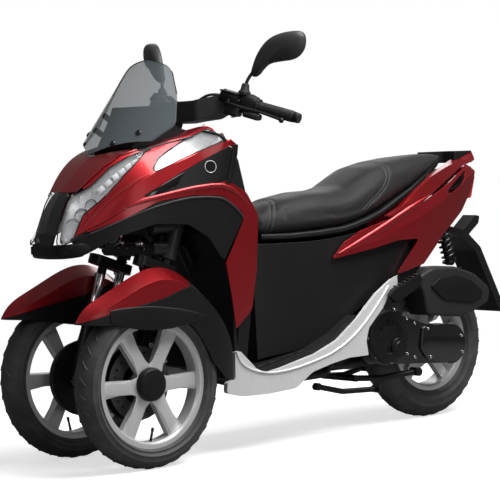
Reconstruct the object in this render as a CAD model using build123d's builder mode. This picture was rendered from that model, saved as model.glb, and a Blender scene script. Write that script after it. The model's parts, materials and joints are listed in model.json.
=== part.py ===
"""Leaning reverse trike: a scooter with two steered front wheels and one driven rear wheel.

Row frame: millimetres, +X forward, +Y left, +Z up, origin on the floor below the middle of the
overall box. The machine stands on its three wheels with both stands folded up.
"""
import os
from math import cos, radians, sin, tan

from build123d import *

# ---------------------------------------------------------------- driving dimensions
FRONT_AXLE_X = 702.5        # front axle ahead of the origin
REAR_AXLE_X = -607.5        # wheelbase 1310
TRACK = 385.0               # between the two front wheel planes
FRONT_TYRE_R = 250.0        # 90/80-14
FRONT_TYRE_W = 92.0
FRONT_RIM_R = 190.0         # outer lip of the front rim
REAR_TYRE_R = 251.0         # 110/90-12
REAR_TYRE_W = 112.0
REAR_RIM_R = 163.0
CASTER = 20.0               # degrees that the steering axes lean back
TRAIL_X = 770.5             # where every steering axis meets the floor
KNUCKLE_Y = 114.0           # steering axis of each fork, out from the centre plane
SKIN = 6.0                  # thickness of the moulded body panels
GAP = 1.5                   # seam between neighbouring panels

WHEEL_Y = TRACK / 2
LEAN = tan(radians(CASTER))
STEM_R = 16.0               # steering stem inside the head tube
SIDES = {"left": 1, "right": -1}


# ---------------------------------------------------------------- shared shapes
def steer_x(z):
    """X of the steering axes at height z."""
    return TRAIL_X - LEAN * z


def corner_arc(before, corner, after, radius):
    """Start, middle and end of the arc that rounds a corner, kept within 0.45 of each side."""
    back, ahead = before - corner, after - corner
    half = radians(back.get_angle(ahead)) / 2
    reach = min(radius / tan(half), 0.45 * back.length, 0.45 * ahead.length)
    back, ahead = back.normalized(), ahead.normalized()
    inward = (back + ahead).normalized()
    middle = corner + inward * (reach / cos(half) - reach * tan(half))
    return corner + back * reach, middle, corner + ahead * reach


def outline(points, gap=0.0, mode=Mode.ADD):
    """Add a closed outline to the sketch in hand; points are (u, v, corner radius)."""
    corners = [Vector(u, v) for u, v, _ in points]
    with BuildSketch(mode=Mode.PRIVATE) as shape:
        with BuildLine() as edge:
            ends = []
            for i, (_, _, radius) in enumerate(points):
                before, corner, after = corners[i - 1], corners[i], corners[(i + 1) % len(points)]
                if radius:
                    arc = corner_arc(before, corner, after, radius)
                    ThreePointArc(*arc)
                    ends.append((arc[0], arc[2]))
                else:
                    ends.append((corner, corner))
            for (_, leave), (arrive, _) in zip(ends, ends[1:] + ends[:1]):
                Line(leave, arrive)
        make_face(edge.edges())
        if gap:
            offset(amount=gap, kind=Kind.INTERSECTION)
    add(shape.sketch, mode=mode)


def side_plate(points, y_from, y_to):
    """Solid with an (x, z, corner radius) outline between two Y planes."""
    with BuildPart() as plate:
        with BuildSketch(Plane.XZ.offset(-y_from)):
            outline(points)
        extrude(amount=y_from - y_to)
    return plate.part


def bar(points, radius, bends=20.0):
    """Round bar along straight runs joined by arcs of one bend radius, where the runs leave room."""
    corners = [Vector(point) for point in points]
    leave = corners[0]
    with BuildPart() as rod:
        with BuildLine() as path:
            for before, corner, after in zip(corners, corners[1:], corners[2:]):
                arc = corner_arc(before, corner, after, bends)
                Line(leave, arc[0])
                ThreePointArc(*arc)
                leave = arc[2]
            Line(leave, corners[-1])
        with BuildSketch(Plane(origin=corners[0], z_dir=corners[1] - corners[0])):
            Circle(radius)
        sweep(path=path.line)
    return rod.part


def drum(radius, x, z, y_from, y_to):
    """Cylinder across the machine, from one Y to another."""
    with BuildPart() as roller:
        with BuildSketch(Plane.XZ.offset(-y_from)):
            with Locations((x, z)):
                Circle(radius)
        extrude(amount=y_from - y_to)
    return roller.part


def write(piece, name):
    """Label a finished piece and write its STEP file."""
    piece.part.label = name
    export_step(piece.part, f"parts/{name}.step")


os.makedirs("parts", exist_ok=True)

# ---------------------------------------------------------------- front body form
# One smooth form carries every front panel, so that they meet flush. Each row is a section:
# x, crown z, hood edge (y, z), blade fold (y, z), band crease (y, z), band foot (y, z), hem y
FORM_HEM_Z = 200.0
FRONT_SECTIONS = [
    (908.0, 706.0, 40.0, 698.0, 76.0, 688.0, 80.0, 682.0, 82.0, 674.0, 82.0),
    (880.0, 780.0, 50.0, 768.0, 94.0, 698.0, 98.0, 690.0, 101.0, 682.0, 100.0),
    (845.0, 826.0, 66.0, 818.0, 113.0, 712.0, 118.0, 704.0, 121.0, 694.0, 120.0),
    (740.0, 922.0, 108.0, 910.0, 164.0, 800.0, 169.0, 772.0, 172.0, 742.0, 172.0),
    (600.0, 968.0, 144.0, 955.0, 193.0, 886.0, 206.0, 811.0, 208.0, 792.0, 205.0),
    (450.0, 1050.0, 198.0, 1002.0, 220.0, 950.0, 228.0, 832.0, 226.0, 799.0, 214.0),
    (285.0, 1060.0, 208.0, 1010.0, 226.0, 930.0, 232.0, 836.0, 231.0, 730.0, 206.0),
]


def front_form(inset):
    """The left half of the front body as a closed solid, its walls moved inwards by inset."""
    with BuildPart() as form:
        for row in FRONT_SECTIONS:
            x, crown, hood_y, hood_z, fold_y, fold_z, crease_y, crease_z, band_y, band_z, hem_y = row
            station = x - inset if x > 880 else x - (4 * inset if x < 300 else 0)
            with BuildSketch(Plane.YZ.offset(station)):
                with BuildLine():
                    Polyline((0, crown - inset), (hood_y, hood_z - inset), (fold_y - inset, fold_z),
                             (crease_y - inset, crease_z), (band_y - inset, band_z),
                             (hem_y - inset, FORM_HEM_Z - inset), (0, FORM_HEM_Z - inset), close=True)
                make_face()
        loft()
    return form.part


front_skin = front_form(0.0) - front_form(SKIN)

# Side-view outlines on that form: (x, z, corner radius)
LAMP = [(912, 668, 0), (884, 680, 4), (838, 758, 10), (796, 792, 20), (716, 870, 20), (640, 932, 10),
        (606, 946, 4), (690, 921, 20), (748, 890, 20), (806, 838, 20), (850, 812, 8), (880, 800, 0)]
SIGNAL = [(655, 866, 6), (610, 914, 40), (520, 962, 30), (448, 994, 6), (398, 962, 8)]
SHOULDER = [(690, 800, 2), (570, 858, 40), (392, 940, 6), (376, 930, 4), (404, 838, 4), (585, 814, 20)]
COWL = [(884, 680, 2), (868, 697, 2), (790, 738, 6), (700, 790, 30), (585, 812, 40), (380, 840, 2),
        (360, 940, 10), (398, 968, 14), (447, 1004, 10), (500, 978, 20), (612, 949, 30), (712, 922, 30),
        (767, 886, 30), (822, 836, 10)]
HOOD = [(842, 822, 2), (767, 889, 20), (712, 925, 30), (612, 951, 30), (500, 980, 20), (446, 1006, 4),
        (440, 1030, 0), (860, 1030, 0), (860, 822, 0)]
BAND = [(868, 695, 2), (790, 736, 6), (700, 788, 30), (585, 810, 40), (398, 837, 20), (330, 800, 40),
        (284, 728, 60), (292, 560, 60), (312, 440, 40), (377, 386, 3), (392, 489, 60), (411, 590, 3),
        (334, 730, 30), (418, 792, 40), (520, 799, 60), (640, 786, 60), (736, 743, 30)]
ARCH = [(915, 662, 0), (884, 666, 4), (864, 692, 4), (736, 741, 30), (640, 784, 60), (520, 797, 60),
        (418, 790, 40), (337, 730, 20), (416, 600, 3), (432, 612, 30), (470, 670, 60), (540, 712, 60),
        (640, 722, 60), (760, 690, 60), (850, 640, 20), (915, 640, 0)]
MASK_HALF_WIDTH = 54.0
PANEL_REACH = 300.0         # outlines are cut from the centre plane out to here


def front_panel(include, exclude=(), y_from=0.0):
    """One side's panels: the skin inside some side-view outlines and clear of others."""
    with BuildPart() as panel:
        add(front_skin)
        with BuildSketch(Plane.XZ.offset(-y_from)):
            for points in include:
                outline(points)
            for points in exclude:
                outline(points, gap=GAP, mode=Mode.SUBTRACT)
        extrude(amount=y_from - PANEL_REACH, mode=Mode.INTERSECT)
    return panel.part


def both_sides(piece):
    """A left-hand solid and its mirror image, joined where they meet on the centre plane."""
    with BuildPart() as pair:
        add(piece)
        mirror(about=Plane.XZ)
    return pair


with BuildPart() as hood_half:
    add(front_panel([HOOD]))
    with BuildSketch(Plane.XY.offset(900)):
        outline([(742, 0, 0), (640, 160, 10), (500, 178, 10), (430, 188, 0), (430, -10, 0), (742, -10, 0)])
    extrude(amount=200, mode=Mode.SUBTRACT)
front_hood = both_sides(hood_half.part)
write(front_hood, "front_hood")

with BuildPart() as mask_half:
    add(front_skin)
    with BuildSketch(Plane.YZ.offset(800)):
        outline([(0, 666, 0), (30, 670, 8), (MASK_HALF_WIDTH, 720, 10), (40, 815, 10), (0, 832, 0)])
    extrude(amount=120, mode=Mode.INTERSECT)
    with BuildSketch(Plane.XZ):
        outline(HOOD, gap=GAP)
    extrude(amount=-PANEL_REACH, mode=Mode.SUBTRACT)
nose_mask = both_sides(mask_half.part)
write(nose_mask, "nose_mask")

front_lamps = both_sides(front_panel([LAMP, SIGNAL], y_from=MASK_HALF_WIDTH + GAP))
write(front_lamps, "front_lamps")

side_cowls = both_sides(front_panel([COWL], [LAMP, SIGNAL, SHOULDER], y_from=MASK_HALF_WIDTH + GAP))
write(side_cowls, "side_cowls")

shoulder_panels = both_sides(front_panel([SHOULDER], y_from=MASK_HALF_WIDTH))
write(shoulder_panels, "shoulder_panels")

leg_shield_bands = both_sides(front_panel([BAND], y_from=MASK_HALF_WIDTH))
write(leg_shield_bands, "leg_shield_bands")

arch_panels = both_sides(front_panel([ARCH]))
write(arch_panels, "arch_panels")

# ---------------------------------------------------------------- frame
with BuildPart() as frame:
    with BuildSketch(Plane(origin=(steer_x(585), 0, 585), z_dir=(-LEAN, 0, 1))):
        Circle(30)
    extrude(amount=230)
    add(bar([(520, 0, 690), (400, 0, 640), (330, 0, 500), (320, 0, 230), (200, 0, 195), (-100, 0, 195)], 22, 40))
    for side in SIDES.values():
        add(bar([(322, 0, 300), (300, 90 * side, 215), (160, 126 * side, 200), (-60, 124 * side, 205),
                 (-200, 118 * side, 430), (-520, 112 * side, 560), (-700, 60 * side, 660)], 14, 30))
write(frame, "frame")


def stem_space(z_from, z_to):
    """Room round the steering stem between two heights."""
    with BuildPart() as space:
        with BuildSketch(Plane(origin=(steer_x(z_from), 0, z_from), z_dir=(-LEAN, 0, 1))):
            Circle(STEM_R + 8)
        extrude(amount=(z_to - z_from) / cos(radians(CASTER)))
    return space.part


# ---------------------------------------------------------------- windscreen, dash and leg shield
SCREEN_LEAN = 38.6          # degrees that the screen leans back from upright
SCREEN_R = 255.0            # its curve in plan
SCREEN_THICK = 4.0
SCREEN_BASE = (741.0, 929.0)    # x, z of the lowest point, on the centre line
screen_plane = Plane(origin=(SCREEN_BASE[0], 0, SCREEN_BASE[1]), x_dir=(0, 1, 0),
                     z_dir=(-sin(radians(SCREEN_LEAN)), 0, cos(radians(SCREEN_LEAN))))
# the flat pattern seen square on: (y, distance up the screen, corner radius)
SCREEN = [(0, 0, 20), (165, 92, 12), (193, 176, 60), (163, 267, 120), (112, 346, 60), (0, 359, 200),
          (-112, 346, 60), (-163, 267, 120), (-193, 176, 60), (-165, 92, 12)]

with BuildPart() as windscreen:
    with BuildSketch(screen_plane):
        with Locations((0, SCREEN_R)):
            Circle(SCREEN_R)
            Circle(SCREEN_R - SCREEN_THICK, mode=Mode.SUBTRACT)
    extrude(amount=370)
    with BuildSketch(Plane(screen_plane.origin, x_dir=(0, 1, 0), z_dir=-screen_plane.y_dir)):
        outline(SCREEN)
    extrude(amount=130, both=True, mode=Mode.INTERSECT)
write(windscreen, "windscreen")

DASH = [(648, 946, 6), (580, 1036, 30), (562, 1070, 8), (542, 1068, 8), (500, 1000, 20), (436, 984, 6),
        (432, 962, 6), (500, 945, 10), (630, 928, 6)]
with BuildPart() as dash_panel:
    with BuildSketch(Plane.XZ):
        outline(DASH)
    extrude(amount=140, both=True)
    with BuildSketch(Plane.XY.offset(900)):
        outline([(660, 84, 20), (560, 118, 40), (425, 140, 10), (425, -140, 10), (560, -118, 40), (660, -84, 20)])
    extrude(amount=180, mode=Mode.INTERSECT)
    add(stem_space(940, 1100), mode=Mode.SUBTRACT)
    add(side_cowls.part, mode=Mode.SUBTRACT)
write(dash_panel, "dash_panel")

# ---------------------------------------------------------------- lower side panels and leg shield
SILVER = [(402, 192, 10), (398, 224, 8), (368, 230, 4), (366, 316, 6), (345, 314, 12), (289, 258, 40),
          (250, 240, 30), (187, 250, 40), (49, 279, 80), (-49, 314, 80), (-144, 379, 80), (-231, 450, 80),
          (-301, 489, 20), (-422, 526, 4), (-414, 496, 4), (-296, 448, 20), (-268, 410, 60), (-192, 342, 30),
          (-178, 300, 30), (-186, 254, 4), (-100, 254, 60), (-20, 242, 60), (60, 224, 60), (130, 180, 60),
          (240, 174, 100), (340, 176, 60)]
SILVER_Y = (176.0, 200.0)
with BuildPart() as silver_half:
    add(side_plate(SILVER, *SILVER_Y))
    with BuildSketch(Plane.XY.offset(150)):
        outline([(420, 160, 0), (420, 192, 20), (300, 200, 60), (0, 200, 200), (-250, 190, 80), (-440, 160, 10),
                 (-440, 146, 0), (-260, 178, 80), (0, 188, 200), (300, 188, 60)])
    extrude(amount=400, mode=Mode.INTERSECT)
lower_side_panels = both_sides(silver_half.part)
write(lower_side_panels, "lower_side_panels")

LEG_SHIELD_REAR_X = 288.0
with BuildPart() as inner_leg_shield:
    with BuildSketch(Plane.XZ):
        outline([(345, 250, 4), (345, 640, 60), (400, 770, 40), (415, 960, 10), (340, 950, 40),
                 (LEG_SHIELD_REAR_X, 740, 80), (LEG_SHIELD_REAR_X + 6, 560, 80), (306, 250, 10)])
    extrude(amount=196, both=True)
    with BuildSketch(Plane.YZ.offset(270)):
        outline([(-170, 250, 20), (-196, 420, 60), (-196, 900, 30), (-150, 970, 40), (150, 970, 40), (196, 900, 30),
                 (196, 420, 60), (170, 250, 20)])
    extrude(amount=160, mode=Mode.INTERSECT)
    add(stem_space(760, 1100), mode=Mode.SUBTRACT)
    add(frame.part, mode=Mode.SUBTRACT)
    add(lower_side_panels.part, mode=Mode.SUBTRACT)
write(inner_leg_shield, "inner_leg_shield")

with BuildPart() as wheelhouse_liner:
    with BuildSketch(Plane.XZ):
        outline([(362, 250, 6), (364, 420, 60), (380, 600, 60), (424, 680, 6), (414, 690, 6), (366, 612, 60),
                 (350, 420, 60), (350, 250, 6)])
    extrude(amount=188, both=True)
    add(frame.part, mode=Mode.SUBTRACT)
    add(lower_side_panels.part, mode=Mode.SUBTRACT)
write(wheelhouse_liner, "wheelhouse_liner")

# ---------------------------------------------------------------- middle and rear bodywork
COVER_SECTIONS = [      # x, top half-width, foot half-width, top z, foot z
    (196.0, 88.0, 96.0, 630.0, 268.0),
    (100.0, 112.0, 124.0, 628.0, 284.0),
    (-60.0, 128.0, 146.0, 630.0, 330.0),
    (-220.0, 134.0, 150.0, 648.0, 420.0),
    (-400.0, 136.0, 140.0, 690.0, 480.0),
    (-520.0, 132.0, 128.0, 735.0, 560.0),
]


def cover_form(inset):
    """The bodywork under the seat as a closed solid, its walls moved inwards by inset."""
    with BuildPart() as form:
        for x, top_y, foot_y, top_z, foot_z in COVER_SECTIONS:
            lift = 40 if inset else 0
            with BuildSketch(Plane.YZ.offset(x - inset if x > 190 else x)):
                outline([(-foot_y + inset, foot_z - lift, 0), (foot_y - inset, foot_z - lift, 0),
                         (top_y - inset, top_z + lift, 0), (-top_y + inset, top_z + lift, 0)])
        loft()
    return form.part


FLOOR = [(345, 300, 6), (340, 246, 10), (290, 236, 20), (250, 222, 20), (187, 232, 20), (49, 262, 40),
         (-49, 297, 40), (-144, 362, 40), (-144, 392, 10), (-49, 332, 60), (49, 290, 60), (187, 262, 40),
         (250, 252, 20), (290, 268, 20)]
with BuildPart() as floor_board:
    with BuildSketch(Plane.XZ):
        outline(FLOOR)
    extrude(amount=186, both=True)
    for neighbour in (frame.part, inner_leg_shield.part, lower_side_panels.part, cover_form(0.0)):
        add(neighbour, mode=Mode.SUBTRACT)
write(floor_board, "floor_board")

with BuildPart() as body_cover:
    add(cover_form(0.0))
    add(cover_form(SKIN), mode=Mode.SUBTRACT)
    with BuildSketch(Plane.YZ.offset(-521)):
        with Locations((0, 650)):
            Rectangle(400, 400)
    extrude(amount=31, mode=Mode.SUBTRACT)
    add(frame.part, mode=Mode.SUBTRACT)
write(body_cover, "body_cover")

TUB_X = (-330.0, 120.0)
TUB_Z = (412.0, 628.0)
TUB_HALF_W = 100.0
TUB_WALL = 4.0
SEAT_HINGE = (180.0, 642.0)     # x, z of the axis that the seat tips forward about
HINGE_PIN_R = 5.0
HINGE_EYE_R = 10.0
with BuildPart() as storage_tub:
    with BuildSketch(Plane.XY.offset(TUB_Z[0])):
        with Locations(((TUB_X[0] + TUB_X[1]) / 2, 0)):
            RectangleRounded(TUB_X[1] - TUB_X[0], 2 * TUB_HALF_W, 50)
    extrude(amount=TUB_Z[1] - TUB_Z[0])
    offset(amount=-TUB_WALL, openings=storage_tub.faces().sort_by(Axis.Z)[-1])
    add(side_plate([(TUB_X[1] - 2, 594, 0), (TUB_X[1] - 2, 610, 4), (SEAT_HINGE[0] - 8, SEAT_HINGE[1] + 5, 0),
                    (SEAT_HINGE[0] + 4, SEAT_HINGE[1] - 8, 0)], -8, 8))
    add(drum(HINGE_EYE_R, *SEAT_HINGE, -8, 8))
    add(drum(HINGE_PIN_R + 0.3, *SEAT_HINGE, -9, 9), mode=Mode.SUBTRACT)
write(storage_tub, "storage_tub")

SEAT_SECTIONS = [       # x, half-width, edge z, crown z
    (186.0, 70.0, 650.0, 716.0),
    (60.0, 126.0, 645.0, 762.0),
    (-150.0, 150.0, 654.0, 788.0),
    (-320.0, 143.0, 700.0, 850.0),
    (-500.0, 118.0, 776.0, 877.0),
    (-690.0, 56.0, 866.0, 886.0),
]
with BuildPart() as seat:
    for x, half_w, edge_z, crown_z in SEAT_SECTIONS:
        drop = edge_z - 12
        with BuildSketch(Plane.YZ.offset(x)):
            with BuildLine():
                ThreePointArc((-half_w + 24, crown_z - 16), (0, crown_z), (half_w - 24, crown_z - 16))
                Polyline((half_w - 24, crown_z - 16), (half_w, (edge_z + crown_z) / 2), (half_w - 6, edge_z),
                         (half_w - 20, drop), (-half_w + 20, drop), (-half_w + 6, edge_z),
                         (-half_w, (edge_z + crown_z) / 2), (-half_w + 24, crown_z - 16))
            make_face()
    loft()
    add(side_plate([(SEAT_HINGE[0] - 42, 620, 0), (SEAT_HINGE[0] - 42, 658, 0), (SEAT_HINGE[0] + 20, 658, 0),
                    (SEAT_HINGE[0] + 20, 620, 0)], -22, 22), mode=Mode.SUBTRACT)
    add(drum(HINGE_PIN_R, *SEAT_HINGE, -28, 28))
write(seat, "seat")

REAR_SECTIONS = [       # x, shoulder (y, z), waist (y, z), foot (y, z)
    (-80.0, 140.0, 640.0, 146.0, 560.0, 146.0, 480.0),
    (-290.0, 158.0, 700.0, 166.0, 620.0, 156.0, 480.0),
    (-480.0, 152.0, 790.0, 164.0, 690.0, 146.0, 490.0),
    (-660.0, 120.0, 850.0, 138.0, 770.0, 120.0, 600.0),
    (-830.0, 62.0, 890.0, 80.0, 820.0, 66.0, 700.0),
]


def rear_form(inset):
    """The left half of the tail bodywork, its walls moved inwards; a core also runs past the open sides."""
    past = 10.0 if inset else 0.0
    with BuildPart() as form:
        for x, top_y, top_z, waist_y, waist_z, foot_y, foot_z in REAR_SECTIONS:
            station = x + past if x > -100 else x - past if x < -800 else x
            with BuildSketch(Plane.YZ.offset(station)):
                outline([(-past, foot_z - 40 - past, 0), (foot_y - inset, foot_z - 40 - past, 0),
                         (foot_y - inset, foot_z, 0), (waist_y - inset, waist_z, 0),
                         (top_y - inset, top_z, 0), (-past, top_z + 10 + past, 0)])
        loft()
    return form.part


REAR_PANEL = [(-84, 568, 3), (-136, 618, 40), (-205, 652, 40), (-300, 676, 60), (-372, 690, 40), (-480, 728, 80),
              (-600, 778, 60), (-745, 846, 3), (-790, 822, 3), (-765, 762, 10), (-700, 690, 10), (-590, 620, 20),
              (-486, 527, 3), (-356, 500, 3), (-440, 590, 10), (-458, 612, 16), (-360, 612, 40), (-250, 592, 60)]
GRAB_BLADE = [(-296, 684, 3), (-372, 716, 40), (-466, 776, 60), (-560, 828, 60), (-690, 876, 40), (-806, 892, 8),
              (-812, 858, 8), (-706, 838, 40), (-600, 792, 60), (-450, 716, 40), (-372, 698, 20)]
GRAB_SLOT = [(-588, 750, 6), (-655, 790, 10), (-728, 828, 4), (-716, 800, 10), (-690, 778, 8), (-640, 756, 8)]
REAR_REACH = 240.0


def rear_panel(points, thickness, y_from=40.0):
    """A pair of tail panels: the tail skin inside a side-view outline."""
    with BuildPart() as panel:
        add(rear_form(0.0))
        add(rear_form(thickness), mode=Mode.SUBTRACT)
        with BuildSketch(Plane.XZ.offset(-y_from)):
            outline(points)
            if points is REAR_PANEL:
                outline(GRAB_BLADE, gap=GAP, mode=Mode.SUBTRACT)
                outline(GRAB_SLOT, mode=Mode.SUBTRACT)
        extrude(amount=y_from - REAR_REACH, mode=Mode.INTERSECT)
    return both_sides(panel.part)


rear_panels = rear_panel(REAR_PANEL, SKIN)
write(rear_panels, "rear_panels")
grab_rails = rear_panel(GRAB_BLADE, 18.0)
write(grab_rails, "grab_rails")

with BuildPart() as rear_carrier:
    with BuildSketch(Plane.XY.offset(850)):
        outline([(-700, 96, 10), (-822, 56, 20), (-822, -56, 20), (-700, -96, 10), (-700, -70, 10),
                 (-772, -40, 10), (-772, 40, 10), (-700, 70, 10)])
    extrude(amount=40)
    add(grab_rails.part, mode=Mode.SUBTRACT)
write(rear_carrier, "rear_carrier")

with BuildPart() as tail_lamp:
    with BuildSketch(Plane.XZ):
        outline([(-815, 836, 4), (-832, 800, 10), (-812, 730, 10), (-780, 726, 4), (-780, 836, 4)])
    extrude(amount=52, both=True)
write(tail_lamp, "tail_lamp")

with BuildPart() as rear_mudguard:
    with BuildSketch(Plane.XZ):
        outline([(-690, 640, 6), (-770, 620, 20), (-840, 560, 40), (-945, 352, 6), (-952.5, 336, 3), (-925, 330, 6),
                 (-915, 352, 10), (-815, 548, 40), (-750, 600, 20), (-690, 618, 6)])
    extrude(amount=62, both=True)
    add(side_plate([(-800, 590, 4), (-866, 640, 8), (-872, 664, 6), (-852, 668, 4), (-784, 612, 4)], -30, 30))
write(rear_mudguard, "rear_mudguard")

# ---------------------------------------------------------------- running gear behind the floor
ARM_Y = 74.0                # the right-hand rear arm lies against the engine's side
with BuildPart() as engine_block:
    with BuildSketch(Plane.XZ.offset(-58)):
        outline([(-110, 240, 20), (-140, 320, 30), (-200, 388, 30), (-330, 392, 20), (-342, 300, 30), (-330, 222, 20),
                 (-180, 208, 20)])
    extrude(amount=58 + ARM_Y)
write(engine_block, "engine_block")

DRIVE_CASE_Y = (64.0, 142.0)
with BuildPart() as drive_case:
    with BuildSketch(Plane.XZ.offset(-DRIVE_CASE_Y[0])):
        with Locations((-318, 300)):
            Circle(94)
        with Locations((REAR_AXLE_X, REAR_TYRE_R)):
            Circle(66)
        outline([(-318, 386, 0), (-500, 324, 20), (REAR_AXLE_X, 316, 0), (REAR_AXLE_X, 188, 0), (-318, 210, 0)])
    extrude(amount=DRIVE_CASE_Y[0] - DRIVE_CASE_Y[1])
    with BuildSketch(Plane.XZ.offset(-DRIVE_CASE_Y[1])):
        with Locations((-360, 262)):
            Circle(30)
    extrude(amount=-12)
write(drive_case, "drive_case")

AIR_BOX_Y = (66.0, 160.0)
with BuildPart() as air_cleaner:
    add(side_plate([(-446, 486, 30), (-520, 512, 60), (-620, 510, 80), (-712, 480, 80), (-786, 424, 30),
                    (-772, 380, 20), (-700, 352, 20), (-640, 340, 20), (-488, 356, 20), (-474, 420, 20)], *AIR_BOX_Y))
    fillet(air_cleaner.faces().sort_by(Axis.Y)[-1].edges(), 10)
write(air_cleaner, "air_cleaner")

with BuildPart() as shock_half:
    add(bar([(-618, 100, 640), (-652, 100, 522)], 25))
    add(frame.part, mode=Mode.SUBTRACT)
rear_shocks = both_sides(shock_half.part)
write(rear_shocks, "rear_shocks")

with BuildPart() as exhaust:
    add(bar([(-420, -152, 262), (-800, -158, 352)], 52))
    add(bar([(-250, -ARM_Y, 244), (-250, -130, 240), (-330, -150, 246), (-430, -152, 264)], 14, 24))
    add(engine_block.part, mode=Mode.SUBTRACT)
write(exhaust, "exhaust")

with BuildPart() as footrest_half:
    add(side_plate([(-268, 440, 6), (-286, 458, 8), (-400, 500, 6), (-414, 484, 6), (-396, 458, 8), (-296, 414, 8)],
                   196, 216))
passenger_footrests = both_sides(footrest_half.part)
write(passenger_footrests, "passenger_footrests")

# ---------------------------------------------------------------- leaning linkage
ARM_Z = (640.0, 706.0)
ARM_X = 612.0
with BuildPart() as lean_arms:
    for z in ARM_Z:
        with BuildSketch(Plane.YZ.offset(ARM_X - 26)):
            with Locations((0, z)):
                SlotCenterToCenter(2 * KNUCKLE_Y, 44)
        extrude(amount=26)
write(lean_arms, "lean_arms")

with BuildPart() as knuckles:
    for side in SIDES.values():
        with BuildSketch(Plane(origin=(steer_x(606), KNUCKLE_Y * side, 606), z_dir=(-LEAN, 0, 1))):
            Circle(26)
        extrude(amount=130)
        with BuildSketch(Plane.YZ.offset(steer_x(660))):
            for z in ARM_Z:
                with Locations((KNUCKLE_Y * side, z)):
                    Circle(20)
        extrude(amount=ARM_X - 26 - steer_x(660))
write(knuckles, "knuckles")

# ---------------------------------------------------------------- handlebar
BAR_CENTRE = (steer_x(1035), 0.0, 1035.0)
BAR_KNEE = Vector(322, 130, 1090)
GRIP_OUT = Vector(230, 352, 1020)
GRIP_IN = BAR_KNEE + (GRIP_OUT - BAR_KNEE) * 0.5
BAR_END = BAR_KNEE + (GRIP_OUT - BAR_KNEE) * 1.07
with BuildPart() as handlebar:
    with BuildSketch(Plane(origin=(steer_x(820), 0, 820), z_dir=(-LEAN, 0, 1))):
        Circle(STEM_R)
    extrude(amount=236)
    for side in SIDES.values():
        add(bar([BAR_CENTRE, (BAR_KNEE.X, BAR_KNEE.Y * side, BAR_KNEE.Z),
                 (GRIP_OUT.X, GRIP_OUT.Y * side, GRIP_OUT.Z)], 11, 60))
write(handlebar, "handlebar")

with BuildPart() as grip_half:
    add(bar([GRIP_IN, GRIP_OUT], 17))
    add(bar([GRIP_OUT, BAR_END], 15))
    add(handlebar.part, mode=Mode.SUBTRACT)
grips = both_sides(grip_half.part)
write(grips, "grips")

with BuildPart() as bar_cover:
    with BuildSketch(Plane.XY.offset(1012)):
        outline([(434, 0, 40), (408, 100, 30), (345, 165, 20), (300, 160, 20), (330, 60, 30), (330, -60, 30),
                 (300, -160, 20), (345, -165, 20), (408, -100, 30)])
    extrude(amount=84)
    with BuildSketch(Plane.YZ.offset(280)):
        outline([(-170, 1050, 6), (-110, 1022, 30), (0, 1012, 30), (110, 1022, 30), (170, 1050, 6), (170, 1100, 10),
                 (90, 1082, 40), (0, 1080, 40), (-90, 1082, 40), (-170, 1100, 10)])
    extrude(amount=170, mode=Mode.INTERSECT)
    add(handlebar.part, mode=Mode.SUBTRACT)
write(bar_cover, "bar_cover")

with BuildPart() as lever_half:
    with BuildSketch(Plane.XZ.offset(-176)):
        outline([(270, 1052, 6), (274, 1096, 6), (352, 1104, 6), (350, 1046, 6)])
    extrude(amount=-50)
    add(bar([(330, 200, 1066), (352, 260, 1050), (300, 372, 1012)], 6, 30))
    add(handlebar.part, mode=Mode.SUBTRACT)
bar_controls = both_sides(lever_half.part)
write(bar_controls, "bar_controls")

MIRROR_FACE = Plane(origin=(244, 314, 1234), x_dir=(-0.42, 0.9, 0.1), z_dir=(-1, -0.45, 0))
MIRROR_HEAD = [(-86, -14, 26), (-58, 36, 40), (58, 45, 40), (86, 12, 30), (66, -36, 40), (-36, -42, 40)]
with BuildPart() as mirror_half:
    add(bar([(300, 205, 1103), (290, 226, 1150), (262, 258, 1172), (232, 300, 1216)], 8, 20))
    with BuildSketch(MIRROR_FACE):
        outline(MIRROR_HEAD)
    extrude(amount=14)
    with BuildSketch(MIRROR_FACE):
        outline(MIRROR_HEAD)
    extrude(amount=-26, taper=30)
mirrors = both_sides(mirror_half.part)
write(mirrors, "mirrors")

# ---------------------------------------------------------------- front wheels and forks
FORK_TUBES = (837.0, 763.0)     # x of each tube's line at the floor
FENDER_SECTIONS = [     # x, half-width, shoulder z, ridge z
    (953.0, 10.0, 430.0, 446.0),
    (875.0, 44.0, 486.0, 513.0),
    (769.0, 56.0, 534.0, 561.0),
    (637.0, 57.0, 556.0, 590.0),
    (537.0, 57.0, 510.0, 546.0),
    (449.0, 48.0, 424.0, 460.0),
    (398.0, 30.0, 330.0, 372.0),
]
FENDER_SIDE = [(953, 452, 6), (945, 444, 4), (845, 436, 60), (777, 422, 60), (716, 412, 60), (645, 412, 60),
               (575, 424, 40), (528, 366, 60), (490, 296, 60), (436, 240, 4), (393, 236, 4), (390, 330, 40),
               (400, 392, 60), (449, 470, 60), (537, 560, 60), (637, 620, 20), (769, 600, 60), (875, 540, 40)]
FENDER_RED = [(1000, 436, 0), (843, 474, 80), (668, 504, 80), (530, 546, 4), (560, 640, 0), (1000, 640, 0)]


def fender_form(inset):
    """The fender's outer form round its own wheel plane, walls moved inwards by inset."""
    with BuildPart() as form:
        for x, half_w, shoulder_z, ridge_z in FENDER_SECTIONS:
            station = x - 1.2 * inset if x > 900 else x + (1.2 * inset if x < 400 else 0)
            with BuildSketch(Plane.YZ.offset(station)):
                outline([(-half_w + inset, 200, 0), (half_w - inset, 200, 0), (half_w - inset, shoulder_z - inset, 0),
                         (0, ridge_z - inset, 0), (-half_w + inset, shoulder_z - inset, 0)])
        loft()
    return form.part


fender_skin = fender_form(0.0) - fender_form(4.0)


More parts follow.
